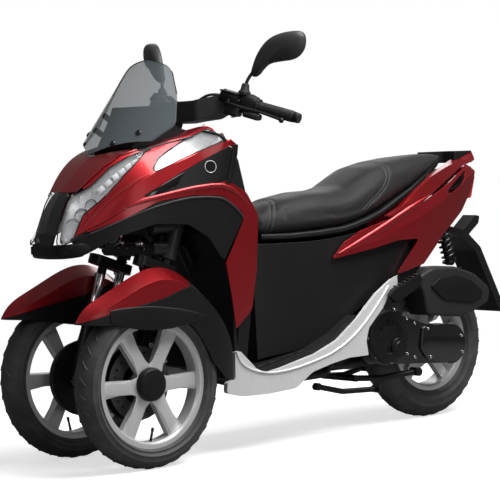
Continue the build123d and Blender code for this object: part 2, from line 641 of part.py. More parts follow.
def wheel_tyre(axle_x, outer_r, width, rim_r):
    """Rounded tyre in the plane Y = 0, with its bead seated on the rim."""
    half, shoulder = width / 2, outer_r - 0.5 * (outer_r - rim_r) + 8
    with BuildPart() as tyre:
        with BuildSketch(Plane.YZ.offset(axle_x)):
            with BuildLine():
                ThreePointArc((half, shoulder), (half - 12, outer_r - 7), (0, outer_r))
                ThreePointArc((0, outer_r), (-half + 12, outer_r - 7), (-half, shoulder))
                ThreePointArc((-half, shoulder), (-half + 4, rim_r + 14), (-half + 14, rim_r + 1))
                Polyline((-half + 14, rim_r + 1), (-half + 20, rim_r + 1), (-half + 20, rim_r - 4),
                         (-half + 29, rim_r - 10), (half - 29, rim_r - 10), (half - 20, rim_r - 4),
                         (half - 20, rim_r + 1), (half - 14, rim_r + 1))
                ThreePointArc((half - 14, rim_r + 1), (half - 4, rim_r + 14), (half, shoulder))
            make_face()
        revolve(axis=Axis((axle_x, 0, 0), (0, 1, 0)))
    return tyre.part.translate((0, 0, outer_r))


ARM_PAIRS = 3               # front rim: three pairs of arms, each pair a V from the hub
ARM_SPREAD = 29.0           # degrees from the middle of a V to each arm's rim end
HUB_R = 41.0
AXLE_R = 10.0
BORE_R = 10.06
BORE_END = 24.0             # the bore of a front wheel stops inside the hub's cap
DISC_R = 110.0


def rim_rings(rim_r, width):
    """Barrel with its two lips, the hub and the brake disc carrier, about the Y axis at the origin."""
    half = width / 2 - 16
    with BuildPart() as ring:
        with BuildSketch(Plane.YZ):
            with BuildLine():
                Polyline((half, rim_r), (half, rim_r - 14), (half - 8, rim_r - 20), (-half + 8, rim_r - 20),
                         (-half, rim_r - 14), (-half, rim_r), (-half + 3, rim_r), (-half + 3, rim_r - 5),
                         (-half + 12, rim_r - 10.5), (half - 12, rim_r - 10.5), (half - 3, rim_r - 5),
                         (half - 3, rim_r), close=True)
            make_face()
        revolve(axis=Axis.Y)
    return ring.part


def wheel_arm(rim_r, root, rim_angle, root_angle, widths, thick):
    """One cast arm in the X-Z plane, from the hub out into the barrel; angles in degrees."""
    out = rim_r - 16
    root_at = Vector(root, 0).rotate(Axis.Z, root_angle)
    out_at = Vector(out, 0).rotate(Axis.Z, rim_angle)
    across = (out_at - root_at).normalized().rotate(Axis.Z, 90)
    with BuildPart() as arm:
        for y, grow in ((-thick / 2, -3.0), (thick / 2, 0.0)):
            with BuildSketch(Plane.XZ.offset(-y)):
                near, far = widths[0] / 2 + grow, widths[1] / 2 + grow
                corners = [root_at + across * near, out_at + across * far, out_at - across * far,
                           root_at - across * near]
                outline([(c.X, c.Y, 0) for c in corners])
        loft()
    return arm.part


with BuildPart() as front_rim_form:
    add(rim_rings(FRONT_RIM_R, FRONT_TYRE_W))
    with BuildSketch(Plane.XZ.offset(42)):
        Circle(HUB_R - 4)
    extrude(amount=-60)
    with BuildSketch(Plane.XZ.offset(-18)):
        Circle(HUB_R)
    extrude(amount=-14, taper=16)
    for pair in range(ARM_PAIRS):
        middle = 90 + pair * 360 / ARM_PAIRS
        for side in (1, -1):
            add(wheel_arm(FRONT_RIM_R, 30, middle + side * ARM_SPREAD, middle + side * 34, (30, 54), 26))
    with BuildSketch(Plane.XZ.offset(38)):
        Circle(DISC_R)
        Circle(62, mode=Mode.SUBTRACT)
        with PolarLocations(92, 24):
            Circle(4, mode=Mode.SUBTRACT)
    extrude(amount=4)
    with BuildSketch(Plane.XZ.offset(38)):
        for turn in range(5):
            with Locations(Rot(0, 0, 72 * turn)):
                with Locations((48, 0)):
                    Rectangle(40, 16)
    extrude(amount=4)
    with BuildSketch(Plane.XZ.offset(60)):
        Circle(BORE_R)
    extrude(amount=-60 - BORE_END, mode=Mode.SUBTRACT)

FORK_Y = KNUCKLE_Y
fender_stay = side_plate([(600, 470, 8), (640, 500, 8), (700, 480, 8), (690, 440, 8), (620, 440, 8)],
                         FORK_Y + 22, FORK_Y + 26)
SLIDER_R = 20.0
TUBE_R = 14.0


def fork_x(line, z):
    """X of a fork tube's line at height z."""
    return line - LEAN * z


for side_name, side in SIDES.items():
    wheel_y = WHEEL_Y * side
    place = Location((FRONT_AXLE_X, wheel_y, FRONT_TYRE_R), (0, 0, 0) if side > 0 else (0, 0, 180))

    with BuildPart() as front_tyre:
        add(wheel_tyre(FRONT_AXLE_X, FRONT_TYRE_R, FRONT_TYRE_W, FRONT_RIM_R).translate((0, wheel_y, 0)))
    write(front_tyre, f"front_tyre_{side_name}")

    with BuildPart() as front_rim:
        add(front_rim_form.part.moved(place))
    write(front_rim, f"front_rim_{side_name}")

    with BuildPart() as fork:
        crown_z = 572
        with BuildSketch(Plane(origin=(steer_x(crown_z - 8), FORK_Y, crown_z - 8), z_dir=(-LEAN, 0, 1))):
            with Locations((38, 0)):
                SlotCenterToCenter(104, 52)
        extrude(amount=28)
        with BuildSketch(Plane(origin=(steer_x(crown_z + 10), FORK_Y, crown_z + 10), z_dir=(-LEAN, 0, 1))):
            Circle(16)
        extrude(amount=24)
        for line in FORK_TUBES:
            add(bar([(fork_x(line, 586), FORK_Y, 586), (fork_x(line, 440), FORK_Y, 440)], TUBE_R))
            add(bar([(fork_x(line, 470), FORK_Y, 470), (fork_x(line, 236), FORK_Y, 236)], SLIDER_R))
        add(side_plate([(760, 300, 20), (650, 330, 20), (640, 240, 30), (702, 212, 30), (770, 240, 30)],
                       FORK_Y - 12, FORK_Y + 12))
        add(drum(116, FRONT_AXLE_X, FRONT_TYRE_R, FORK_Y + 12, FORK_Y + 20))
        add(drum(AXLE_R, FRONT_AXLE_X, FRONT_TYRE_R, FORK_Y, WHEEL_Y + 20))
        add(side_plate([(590, 296, 8), (606, 352, 8), (650, 372, 8), (664, 340, 6), (640, 290, 8)], 134, 146))
        add(side_plate([(588, 300, 8), (606, 352, 8), (638, 366, 8), (654, 338, 6), (632, 294, 8)], 146, 149))
        if side < 0:
            mirror(about=Plane.XZ, mode=Mode.REPLACE)
    write(fork, f"fork_{side_name}")

    with BuildPart() as fender_full:
        add(fender_skin)
        with BuildSketch(Plane.XZ):
            outline(FENDER_SIDE)
        extrude(amount=70, both=True, mode=Mode.INTERSECT)
    with BuildPart() as fender:
        add(fender_full.part.translate((0, wheel_y, 0)))
        with BuildSketch(Plane.XZ):
            outline(FENDER_RED)
        extrude(amount=PANEL_REACH, both=True, mode=Mode.INTERSECT)
    write(fender, f"fender_{side_name}")
    with BuildPart() as fender_skirt:
        add(fender_full.part.translate((0, wheel_y, 0)))
        with BuildSketch(Plane.XZ):
            outline(FENDER_RED, gap=GAP)
        extrude(amount=PANEL_REACH, both=True, mode=Mode.SUBTRACT)
        add(fender_stay if side > 0 else fender_stay.mirror(Plane.XZ))
    write(fender_skirt, f"fender_skirt_{side_name}")

# ---------------------------------------------------------------- rear wheel
with BuildPart() as rear_tyre:
    add(wheel_tyre(REAR_AXLE_X, REAR_TYRE_R, REAR_TYRE_W, REAR_RIM_R))
write(rear_tyre, "rear_tyre")

REAR_ARMS = 5
with BuildPart() as rear_rim:
    add(rim_rings(REAR_RIM_R, REAR_TYRE_W))
    with BuildSketch(Plane.XZ.offset(46)):
        Circle(44)
    extrude(amount=-92)
    for arm in range(REAR_ARMS):
        turn = 90 + arm * 360 / REAR_ARMS
        add(wheel_arm(REAR_RIM_R, 30, turn, turn, (44, 30), 28))
    with BuildSketch(Plane.XZ.offset(46)):
        Circle(100)
        Circle(40, mode=Mode.SUBTRACT)
    extrude(amount=4)
    with BuildSketch(Plane.XZ.offset(60)):
        Circle(BORE_R)
    extrude(amount=-120, mode=Mode.SUBTRACT)
rear_rim.part = rear_rim.part.translate((REAR_AXLE_X, 0, REAR_TYRE_R))
write(rear_rim, "rear_rim")

with BuildPart() as rear_axle_arm:
    add(drum(AXLE_R, REAR_AXLE_X, REAR_TYRE_R, -ARM_Y - 24, DRIVE_CASE_Y[0]))
    add(side_plate([(REAR_AXLE_X - 34, 226, 24), (REAR_AXLE_X - 34, 276, 24), (-300, 330, 10), (-300, 270, 10)],
                   -ARM_Y - 20, -ARM_Y))
write(rear_axle_arm, "rear_axle_arm")

# ---------------------------------------------------------------- stands, folded up
CENTRE_STAND_PIVOT = (-230.0, 168.0)
SIDE_STAND_PIVOT = (-20.0, 165.0)
with BuildPart() as centre_stand:
    add(drum(11, *CENTRE_STAND_PIVOT, -84, 84))
    for side in SIDES.values():
        add(bar([(CENTRE_STAND_PIVOT[0], 74 * side, CENTRE_STAND_PIVOT[1]), (-330, 90 * side, 160),
                 (-452, 128 * side, 172)], 10, 60))
        add(drum(14, -452, 172, 110 * side, 146 * side))
write(centre_stand, "centre_stand")

with BuildPart() as side_stand:
    add(drum(12, *SIDE_STAND_PIVOT, 116, 136))
    add(bar([(SIDE_STAND_PIVOT[0], 128, SIDE_STAND_PIVOT[1]), (-120, 134, 140), (-252, 150, 136)], 9, 60))
    add(drum(12, -252, 136, 136, 176))
write(side_stand, "side_stand")
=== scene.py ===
"""Dresses the leaning three-wheeled scooter: finishes, upholstery, tyres, lamps and small fittings.

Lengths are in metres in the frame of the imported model: +X forward, +Y to the rider's left, +Z up.
"""

import json
import logging
import math
from dataclasses import dataclass
from enum import Enum
from typing import Iterable, Sequence, Union

import bmesh
import bpy
from mathutils import Matrix, Vector
from mathutils.bvhtree import BVHTree

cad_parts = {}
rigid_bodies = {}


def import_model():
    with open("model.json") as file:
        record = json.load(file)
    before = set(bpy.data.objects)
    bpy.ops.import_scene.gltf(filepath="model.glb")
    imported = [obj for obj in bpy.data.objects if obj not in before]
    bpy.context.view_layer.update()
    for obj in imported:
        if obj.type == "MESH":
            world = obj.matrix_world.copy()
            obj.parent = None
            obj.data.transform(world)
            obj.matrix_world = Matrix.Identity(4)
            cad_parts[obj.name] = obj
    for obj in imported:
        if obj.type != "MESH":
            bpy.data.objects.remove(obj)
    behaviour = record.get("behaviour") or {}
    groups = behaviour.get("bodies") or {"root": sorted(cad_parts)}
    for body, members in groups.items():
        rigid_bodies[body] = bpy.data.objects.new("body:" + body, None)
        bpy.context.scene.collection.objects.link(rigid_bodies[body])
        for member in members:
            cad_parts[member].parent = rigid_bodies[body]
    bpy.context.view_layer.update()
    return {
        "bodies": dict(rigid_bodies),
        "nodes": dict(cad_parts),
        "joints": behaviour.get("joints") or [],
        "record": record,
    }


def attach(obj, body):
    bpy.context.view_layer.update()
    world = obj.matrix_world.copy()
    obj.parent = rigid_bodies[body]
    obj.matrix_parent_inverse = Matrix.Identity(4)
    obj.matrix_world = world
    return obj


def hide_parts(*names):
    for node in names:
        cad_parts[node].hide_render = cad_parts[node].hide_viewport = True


LOG = logging.getLogger("scooter")
Colour = tuple[float, float, float]
Point = Sequence[float]
Value = Union["Wire", float, int, Sequence[float]]
SIDES = ((1, "left"), (-1, "right"))
FORWARD = (1.0, 0.0, 0.0)
LEFT = (0.0, 1.0, 0.0)
UP = (0.0, 0.0, 1.0)
SHARP_DEGREES = 35.0
BEADED_DEGREES = 50.0


class Slot(Enum):
    """Material slots that the part's record names."""

    CANDY_RED = "candy_red"
    SATIN_BLACK = "satin_black"
    GLOSS_BLACK = "gloss_black"
    CHARCOAL = "charcoal"
    SILVER_PLASTIC = "silver_plastic"
    BLACK_METAL = "black_metal"
    STEEL = "steel"
    ALLOY = "alloy"
    TYRE = "tyre"
    RUBBER = "rubber"
    SEAT_VINYL = "seat_vinyl"
    SMOKED_SCREEN = "smoked_screen"
    CLEAR_LENS = "clear_lens"
    RED_LENS = "red_lens"


class Body(Enum):
    """Bodies that pieces ride on."""

    CHASSIS = "chassis"
    HANDLEBAR = "handlebar"
    LEFT_FORK = "left_fork"
    RIGHT_FORK = "right_fork"
    LEFT_WHEEL = "left_wheel"
    RIGHT_WHEEL = "right_wheel"
    REAR_WHEEL = "rear_wheel"
    SEAT = "seat"


# ---------------------------------------------------------------- shader graphs


class Wire:
    """A shader socket with arithmetic: each operator adds the Math node for it."""

    def __init__(self, graph: "Graph", socket: bpy.types.NodeSocket) -> None:
        """Keeps the graph and the socket that the wire comes from."""
        self.graph = graph
        self.socket = socket

    def _math(self, operation: str, *values: Value) -> "Wire":
        """Adds a Math node and returns its output.

        Args:
            operation: the Math node's operation.
            values: numbers or wires for its inputs, in order.

        Returns:
            The node's result.
        """
        inputs = dict(enumerate(values))
        return self.graph.node("ShaderNodeMath", {"operation": operation}, inputs)

    def __add__(self, other: Value) -> "Wire":
        """Sum."""
        return self._math("ADD", self, other)

    def __rsub__(self, other: Value) -> "Wire":
        """Difference with the wire on the right."""
        return self._math("SUBTRACT", other, self)

    def __mul__(self, other: Value) -> "Wire":
        """Product."""
        return self._math("MULTIPLY", self, other)

    def most(self, other: Value) -> "Wire":
        """The larger of two."""
        return self._math("MAXIMUM", self, other)

    def unsigned(self) -> "Wire":
        """The value without its sign."""
        return self._math("ABSOLUTE", self)

    def above(self, limit: float) -> "Wire":
        """One where the wire is above the limit, otherwise nought."""
        return self._math("GREATER_THAN", self, limit)

    def stepped(self, low: float, high: float) -> "Wire":
        """A soft step from nought at low to one at high."""
        inputs = {"Value": self, "From Min": low, "From Max": high}
        return self.graph.node("ShaderNodeMapRange", {"interpolation_type": "SMOOTHSTEP"}, inputs)


class Graph:
    """The node tree of one material or world."""

    def __init__(self, tree: bpy.types.NodeTree) -> None:
        """Empties the tree and starts again."""
        self.tree = tree
        tree.nodes.clear()

    def node(
        self,
        kind: str,
        settings: dict[str, object] | None = None,
        inputs: dict[Union[str, int], Value] | None = None,
        output: Union[str, int] = 0,
    ) -> Wire:
        """Adds any node: settings first, then the values or wires of its sockets.

        Args:
            kind: the node's type name.
            settings: attributes of the node.
            inputs: socket names or numbers with a value or a wire each.
            output: the socket to return.

        Returns:
            The chosen output as a wire.
        """
        made = self.tree.nodes.new(kind)
        for name, value in (settings or {}).items():
            setattr(made, name, value)
        for name, value in (inputs or {}).items():
            socket = made.inputs[name]
            if isinstance(value, Wire):
                self.tree.links.new(value.socket, socket)
            elif isinstance(value, (int, float)):
                socket.default_value = value
            else:
                widened = tuple(value) + (1.0,)
                socket.default_value = widened[: len(socket.default_value)]
        found = made.outputs[output] if len(made.outputs) else None
        return Wire(self, found)

    def place(self) -> Wire:
        """The piece's own coordinates, in metres in the shared frame."""
        return self.node("ShaderNodeTexCoord", output="Object")

    def noise(self, scale: float, detail: float) -> Wire:
        """Noise of that many cells per metre and octaves: a value near one half."""
        inputs = {"Vector": self.place(), "Scale": scale, "Detail": detail}
        return self.node("ShaderNodeTexNoise", {"noise_dimensions": "3D"}, inputs)

    def cells(self, scale: float, feature: str = "F1") -> Wire:
        """Distance within Voronoi cells of that many per metre."""
        inputs = {"Vector": self.place(), "Scale": scale}
        return self.node("ShaderNodeTexVoronoi", {"feature": feature}, inputs, "Distance")

    def blend(self, amount: Value, first: Value, second: Value) -> Wire:
        """Mixes two colours by the amount of the second."""
        inputs = {0: amount, 6: first, 7: second}
        return self.node("ShaderNodeMix", {"data_type": "RGBA"}, inputs, 2)

    def relief(self, height: Wire, depth: float, edge: float) -> Wire:
        """A bumped normal over rounded edges.

        Args:
            height: height from nought to one.
            depth: height of one, in metres.
            edge: radius that edges look rounded to, in metres.

        Returns:
            The normal.
        """
        rounded = self.node("ShaderNodeBevel", {"samples": 4}, {"Radius": edge})
        inputs = {"Height": height, "Distance": depth, "Strength": 1.0, "Normal": rounded}
        return self.node("ShaderNodeBump", {}, inputs)


@dataclass(frozen=True)
class Finish:
    """A plain surface finish. Kinds of finish below add their own grain."""

    name: str
    slot: Slot
    colour: Colour
    roughness: float
    metallic: float = 0.0
    coat: float = 0.0
    grain: float = 900.0
    depth: float = 0.00004
    edge: float = 0.0015
    tone: float = 0.12

    def material(self) -> bpy.types.Material:
        """The finish's material, made once.

        Returns:
            The material.
        """
        name = f"{self.name}_finish"
        found = bpy.data.materials.get(name)
        if found:
            return found
        made = bpy.data.materials.new(name)
        made.use_nodes = True
        made.diffuse_color = (*self.colour, 1.0)
        graph = Graph(made.node_tree)
        shader = graph.node("ShaderNodeBsdfPrincipled", {}, self.sockets(graph))
        graph.node("ShaderNodeOutputMaterial", {}, {"Surface": shader})
        return made

    def shades(self, graph: Graph, amount: Wire) -> Wire:
        """The finish's colour, a little lighter and darker over the surface.

        Args:
            graph: the material's node graph.
            amount: nought for the darkest shade, one for the lightest.

        Returns:
            The colour.
        """
        dark = tuple(c * (1 - self.tone) for c in self.colour)
        light = tuple(min(1.0, c * (1 + self.tone)) for c in self.colour)
        return graph.blend(amount, dark, light)

    def sockets(self, graph: Graph) -> dict[str, Value]:
        """Values and wires for the shader's sockets.

        Args:
            graph: the material's node graph.

        Returns:
            Values and wires by socket name.
        """
        fine = graph.noise(self.grain, 3.0)
        broad = graph.noise(14.0, 2.0)
        return {
            "Base Color": self.shades(graph, broad),
            "Roughness": broad * 0.12 + (self.roughness - 0.06),
            "Metallic": self.metallic,
            "Coat Weight": self.coat,
            "Coat Roughness": 0.05,
            "Normal": graph.relief(fine, self.depth, self.edge),
        }


@dataclass(frozen=True)
class Paint(Finish):
    """Metallic paint with flakes under clear lacquer."""

    flake: float = 1400.0
    haze: float = 0.17

    def sockets(self, graph: Graph) -> dict[str, Value]:
        """Flakes vary the colour and the gloss of the ground coat; the lacquer is smooth.

        Args:
            graph: the material's node graph.

        Returns:
            Values and wires by socket name.
        """
        flakes = graph.cells(self.flake).stepped(0.15, 0.75)
        peel = graph.noise(120.0, 1.0)
        dark = tuple(c * 0.72 for c in self.colour)
        light = tuple(min(1.0, c * 1.3 + 0.01) for c in self.colour)
        return {
            "Base Color": graph.blend(flakes, dark, light),
            "Roughness": flakes * 0.12 + (self.roughness - 0.05),
            "Metallic": self.metallic,
            "Coat Weight": self.coat,
            "Coat Roughness": self.haze,
            "Normal": graph.relief(peel, self.depth, self.edge),
        }


@dataclass(frozen=True)
class Moulded(Finish):
    """Moulded plastic with a spark-eroded grain."""

    def sockets(self, graph: Graph) -> dict[str, Value]:
        """A pebbled grain over slow changes of gloss.

        Args:
            graph: the material's node graph.

        Returns:
            Values and wires by socket name.
        """
        pebbles = graph.cells(self.grain).stepped(0.0, 0.7)
        broad = graph.noise(9.0, 3.0)
        return {
            "Base Color": self.shades(graph, broad),
            "Roughness": broad * 0.14 + (self.roughness - 0.07),
            "Coat Weight": self.coat,
            "Coat Roughness": 0.12,
            "Specular IOR Level": 0.3,
            "Normal": graph.relief(pebbles, self.depth, self.edge),
        }


@dataclass(frozen=True)
class Rubber(Finish):
    """Rubber: dull, with a faint bloom."""

    def sockets(self, graph: Graph) -> dict[str, Value]:
        """A fine grain, and a bloom that lightens it in places.

        Args:
            graph: the material's node graph.

        Returns:
            Values and wires by socket name.
        """
        bloom = graph.noise(22.0, 4.0).stepped(0.35, 0.75)
        fine = graph.noise(self.grain, 2.0)
        light = tuple(c * 1.6 + 0.004 for c in self.colour)
        return {
            "Base Color": graph.blend(bloom, self.colour, light),
            "Roughness": bloom * 0.14 + (self.roughness - 0.07),
            "Normal": graph.relief(fine, self.depth, self.edge),
        }


@dataclass(frozen=True)
class Hide(Finish):
    """Coated upholstery cloth with an embossed leather grain."""

    def sockets(self, graph: Graph) -> dict[str, Value]:
        """Creases between cells, finer pores, and gloss on the high parts.

        Args:
            graph: the material's node graph.

        Returns:
            Values and wires by socket name.
        """
        creases = graph.cells(self.grain, "DISTANCE_TO_EDGE").stepped(0.0, 0.16)
        pores = graph.noise(self.grain * 3.0, 2.0)
        broad = graph.noise(7.0, 2.0)
        height = creases * 0.75 + pores * 0.25
        return {
            "Base Color": self.shades(graph, broad),
            "Roughness": (1.0 - creases) * 0.12 + (self.roughness - 0.04),
            "Specular IOR Level": 0.35,
            "Sheen Weight": 0.05,
            "Sheen Roughness": 0.5,
            "Normal": graph.relief(height, self.depth, self.edge),
        }


@dataclass(frozen=True)
class Clear(Finish):
    """Clear or tinted plastic."""

    cover: float = 0.5
    index: float = 1.49

    def sockets(self, graph: Graph) -> dict[str, Value]:
        """Light passes through a smooth skin whose tint hardly varies.

        Args:
            graph: the material's node graph.

        Returns:
            Values and wires by socket name.
        """
        return {
            "Base Color": self.shades(graph, graph.noise(9.0, 2.0)),
            "Roughness": self.roughness,
            "Alpha": self.cover,
            "IOR": self.index,
            "Coat Weight": self.coat,
        }


@dataclass(frozen=True)
class Wheel(Finish):
    """Rim paint that stops at the bare brake disc."""

    axle: Point = (0.7025, 0.0, 0.25)
    disc_side: float = 0.158
    disc_radius: float = 0.116
    disc_colour: Colour = (0.13, 0.13, 0.135)

    def sockets(self, graph: Graph) -> dict[str, Value]:
        """Brushed steel on the disc, near the middle of the wheel and on its inner side.

        Args:
            graph: the material's node graph.

        Returns:
            Values and wires by socket name.
        """
        made = super().sockets(graph)
        place = graph.place()
        aside = graph.node("ShaderNodeSeparateXYZ", {}, {0: place}, "Y")
        outer = aside.unsigned().stepped(self.disc_side, self.disc_side + 0.001)
        plane = {0: place, 1: (1.0, 0.0, 1.0)}
        flat = graph.node("ShaderNodeVectorMath", {"operation": "MULTIPLY"}, plane)
        centre = (self.axle[0], 0.0, self.axle[2])
        ends = {0: flat, 1: centre}
        reach = graph.node("ShaderNodeVectorMath", {"operation": "DISTANCE"}, ends, "Value")
        painted = outer.most(reach.above(self.disc_radius))
        brushed = graph.noise(420.0, 2.0)
        bare = graph.blend(brushed, tuple(c * 0.7 for c in self.disc_colour), self.disc_colour)
        made["Base Color"] = graph.blend(painted, bare, made["Base Color"])
        return made


CANDY_RED = Paint("candy_red", Slot.CANDY_RED, (0.37, 0.0008, 0.006), 0.38, 0.8, 1.0)
SATIN_BLACK = Moulded("satin_black", Slot.SATIN_BLACK, (0.007, 0.007, 0.0075), 0.44, depth=0.00003)
GLOSS_BLACK = Finish("gloss_black", Slot.GLOSS_BLACK, (0.004, 0.004, 0.005), 0.12, coat=1.0,
                     depth=0.00001)
CHARCOAL = Moulded("charcoal_grain", Slot.CHARCOAL, (0.009, 0.009, 0.010), 0.5, depth=0.00006)
SILVER = Paint("silver_plastic", Slot.SILVER_PLASTIC, (0.86, 0.86, 0.87), 0.4, 0.2, 0.5)
SATIN_GREY = Moulded("satin_grey", Slot.SATIN_BLACK, (0.042, 0.042, 0.043), 0.42, depth=0.00003)
GRAIN_GREY = Moulded("grey_grain", Slot.CHARCOAL, (0.024, 0.024, 0.025), 0.5, depth=0.00006)
CAST_GREY = Finish("cast_grey", Slot.BLACK_METAL, (0.045, 0.045, 0.047), 0.42, 0.4, depth=0.00008)
BLACK_METAL = Finish("black_metal", Slot.BLACK_METAL, (0.009, 0.009, 0.010), 0.36, 0.3, depth=0.00005)
STEEL = Finish("bright_steel", Slot.STEEL, (0.62, 0.62, 0.63), 0.2, 1.0, depth=0.00001, tone=0.05)
ALLOY = Wheel("alloy_paint", Slot.ALLOY, (0.74, 0.74, 0.75), 0.34, 0.35, depth=0.00002, tone=0.05)
BARE_ALLOY = Finish("alloy_face", Slot.ALLOY, (0.82, 0.82, 0.83), 0.3, 0.35, depth=0.00002, tone=0.04)
TYRE = Rubber("tyre_rubber", Slot.TYRE, (0.056, 0.056, 0.057), 0.6, grain=1800.0)
SOFT_RUBBER = Rubber("grip_rubber", Slot.RUBBER, (0.011, 0.011, 0.011), 0.6, grain=2400.0)
VINYL = Hide("seat_vinyl", Slot.SEAT_VINYL, (0.007, 0.007, 0.0075), 0.46, grain=520.0, depth=0.00035)
SMOKED = Clear("smoked_screen", Slot.SMOKED_SCREEN, (0.155, 0.180, 0.195), 0.04, depth=0.0, tone=0.03,
               cover=0.56)
LENS = Clear("clear_lens", Slot.CLEAR_LENS, (0.85, 0.86, 0.88), 0.03, coat=1.0, depth=0.0, tone=0.01,
             cover=0.16)
RED_LENS = Clear("red_lens", Slot.RED_LENS, (0.5, 0.006, 0.006), 0.05, coat=1.0, depth=0.0, tone=0.03,
                 cover=0.86)

CHROME = Finish("chrome", Slot.STEEL, (0.78, 0.78, 0.79), 0.08, 1.0, depth=0.000005, tone=0.03)
MACHINED = Finish("machined_alloy", Slot.ALLOY, (0.86, 0.86, 0.87), 0.24, 0.6, depth=0.00001, tone=0.04)
REFLECTOR = Finish("lamp_reflector", Slot.STEEL, (0.92, 0.93, 0.95), 0.2, 0.6, grain=60.0, depth=0.0004,
                   tone=0.06)
MIRROR_GLASS = Finish("mirror_glass", Slot.STEEL, (0.6, 0.62, 0.66), 0.03, 1.0, depth=0.0, tone=0.02)
THREAD = Finish("grey_thread", Slot.SEAT_VINYL, (0.30, 0.30, 0.31), 0.7, grain=4000.0, depth=0.0001)
GLOW = Finish("light_block", Slot.CLEAR_LENS, (0.9, 0.92, 0.95), 0.2, coat=0.6, depth=0.0)

NODE_FINISHES: dict[Finish, tuple[str, ...]] = {
    CANDY_RED: ("front_hood", "side_cowls", "leg_shield_bands", "fender_left", "fender_right",
                "rear_panels", "grab_rails"),
    SATIN_BLACK: ("arch_panels", "shoulder_panels", "fender_skirt_left", "fender_skirt_right",
                  "body_cover", "rear_carrier", "passenger_footrests", "dash_panel"),
    SATIN_GREY: ("bar_cover",),
    GRAIN_GREY: ("air_cleaner",),
    CAST_GREY: ("lean_arms", "knuckles"),
    GLOSS_BLACK: ("nose_mask", "drive_case"),
    CHARCOAL: ("inner_leg_shield", "floor_board", "storage_tub", "wheelhouse_liner",
               "rear_mudguard", "bar_controls"),
    SILVER: ("lower_side_panels",),
    BLACK_METAL: ("frame", "engine_block", "fork_left", "fork_right",
                  "handlebar", "mirrors", "rear_axle_arm", "centre_stand", "side_stand",
                  "rear_shocks", "exhaust"),
    ALLOY: ("front_rim_left", "front_rim_right", "rear_rim"),
    TYRE: ("front_tyre_left", "front_tyre_right", "rear_tyre"),
    SOFT_RUBBER: ("grips",),
    VINYL: ("seat",),
    SMOKED: ("windscreen",),
    LENS: ("front_lamps",),
    RED_LENS: ("tail_lamp",),
}


# ---------------------------------------------------------------- meshes


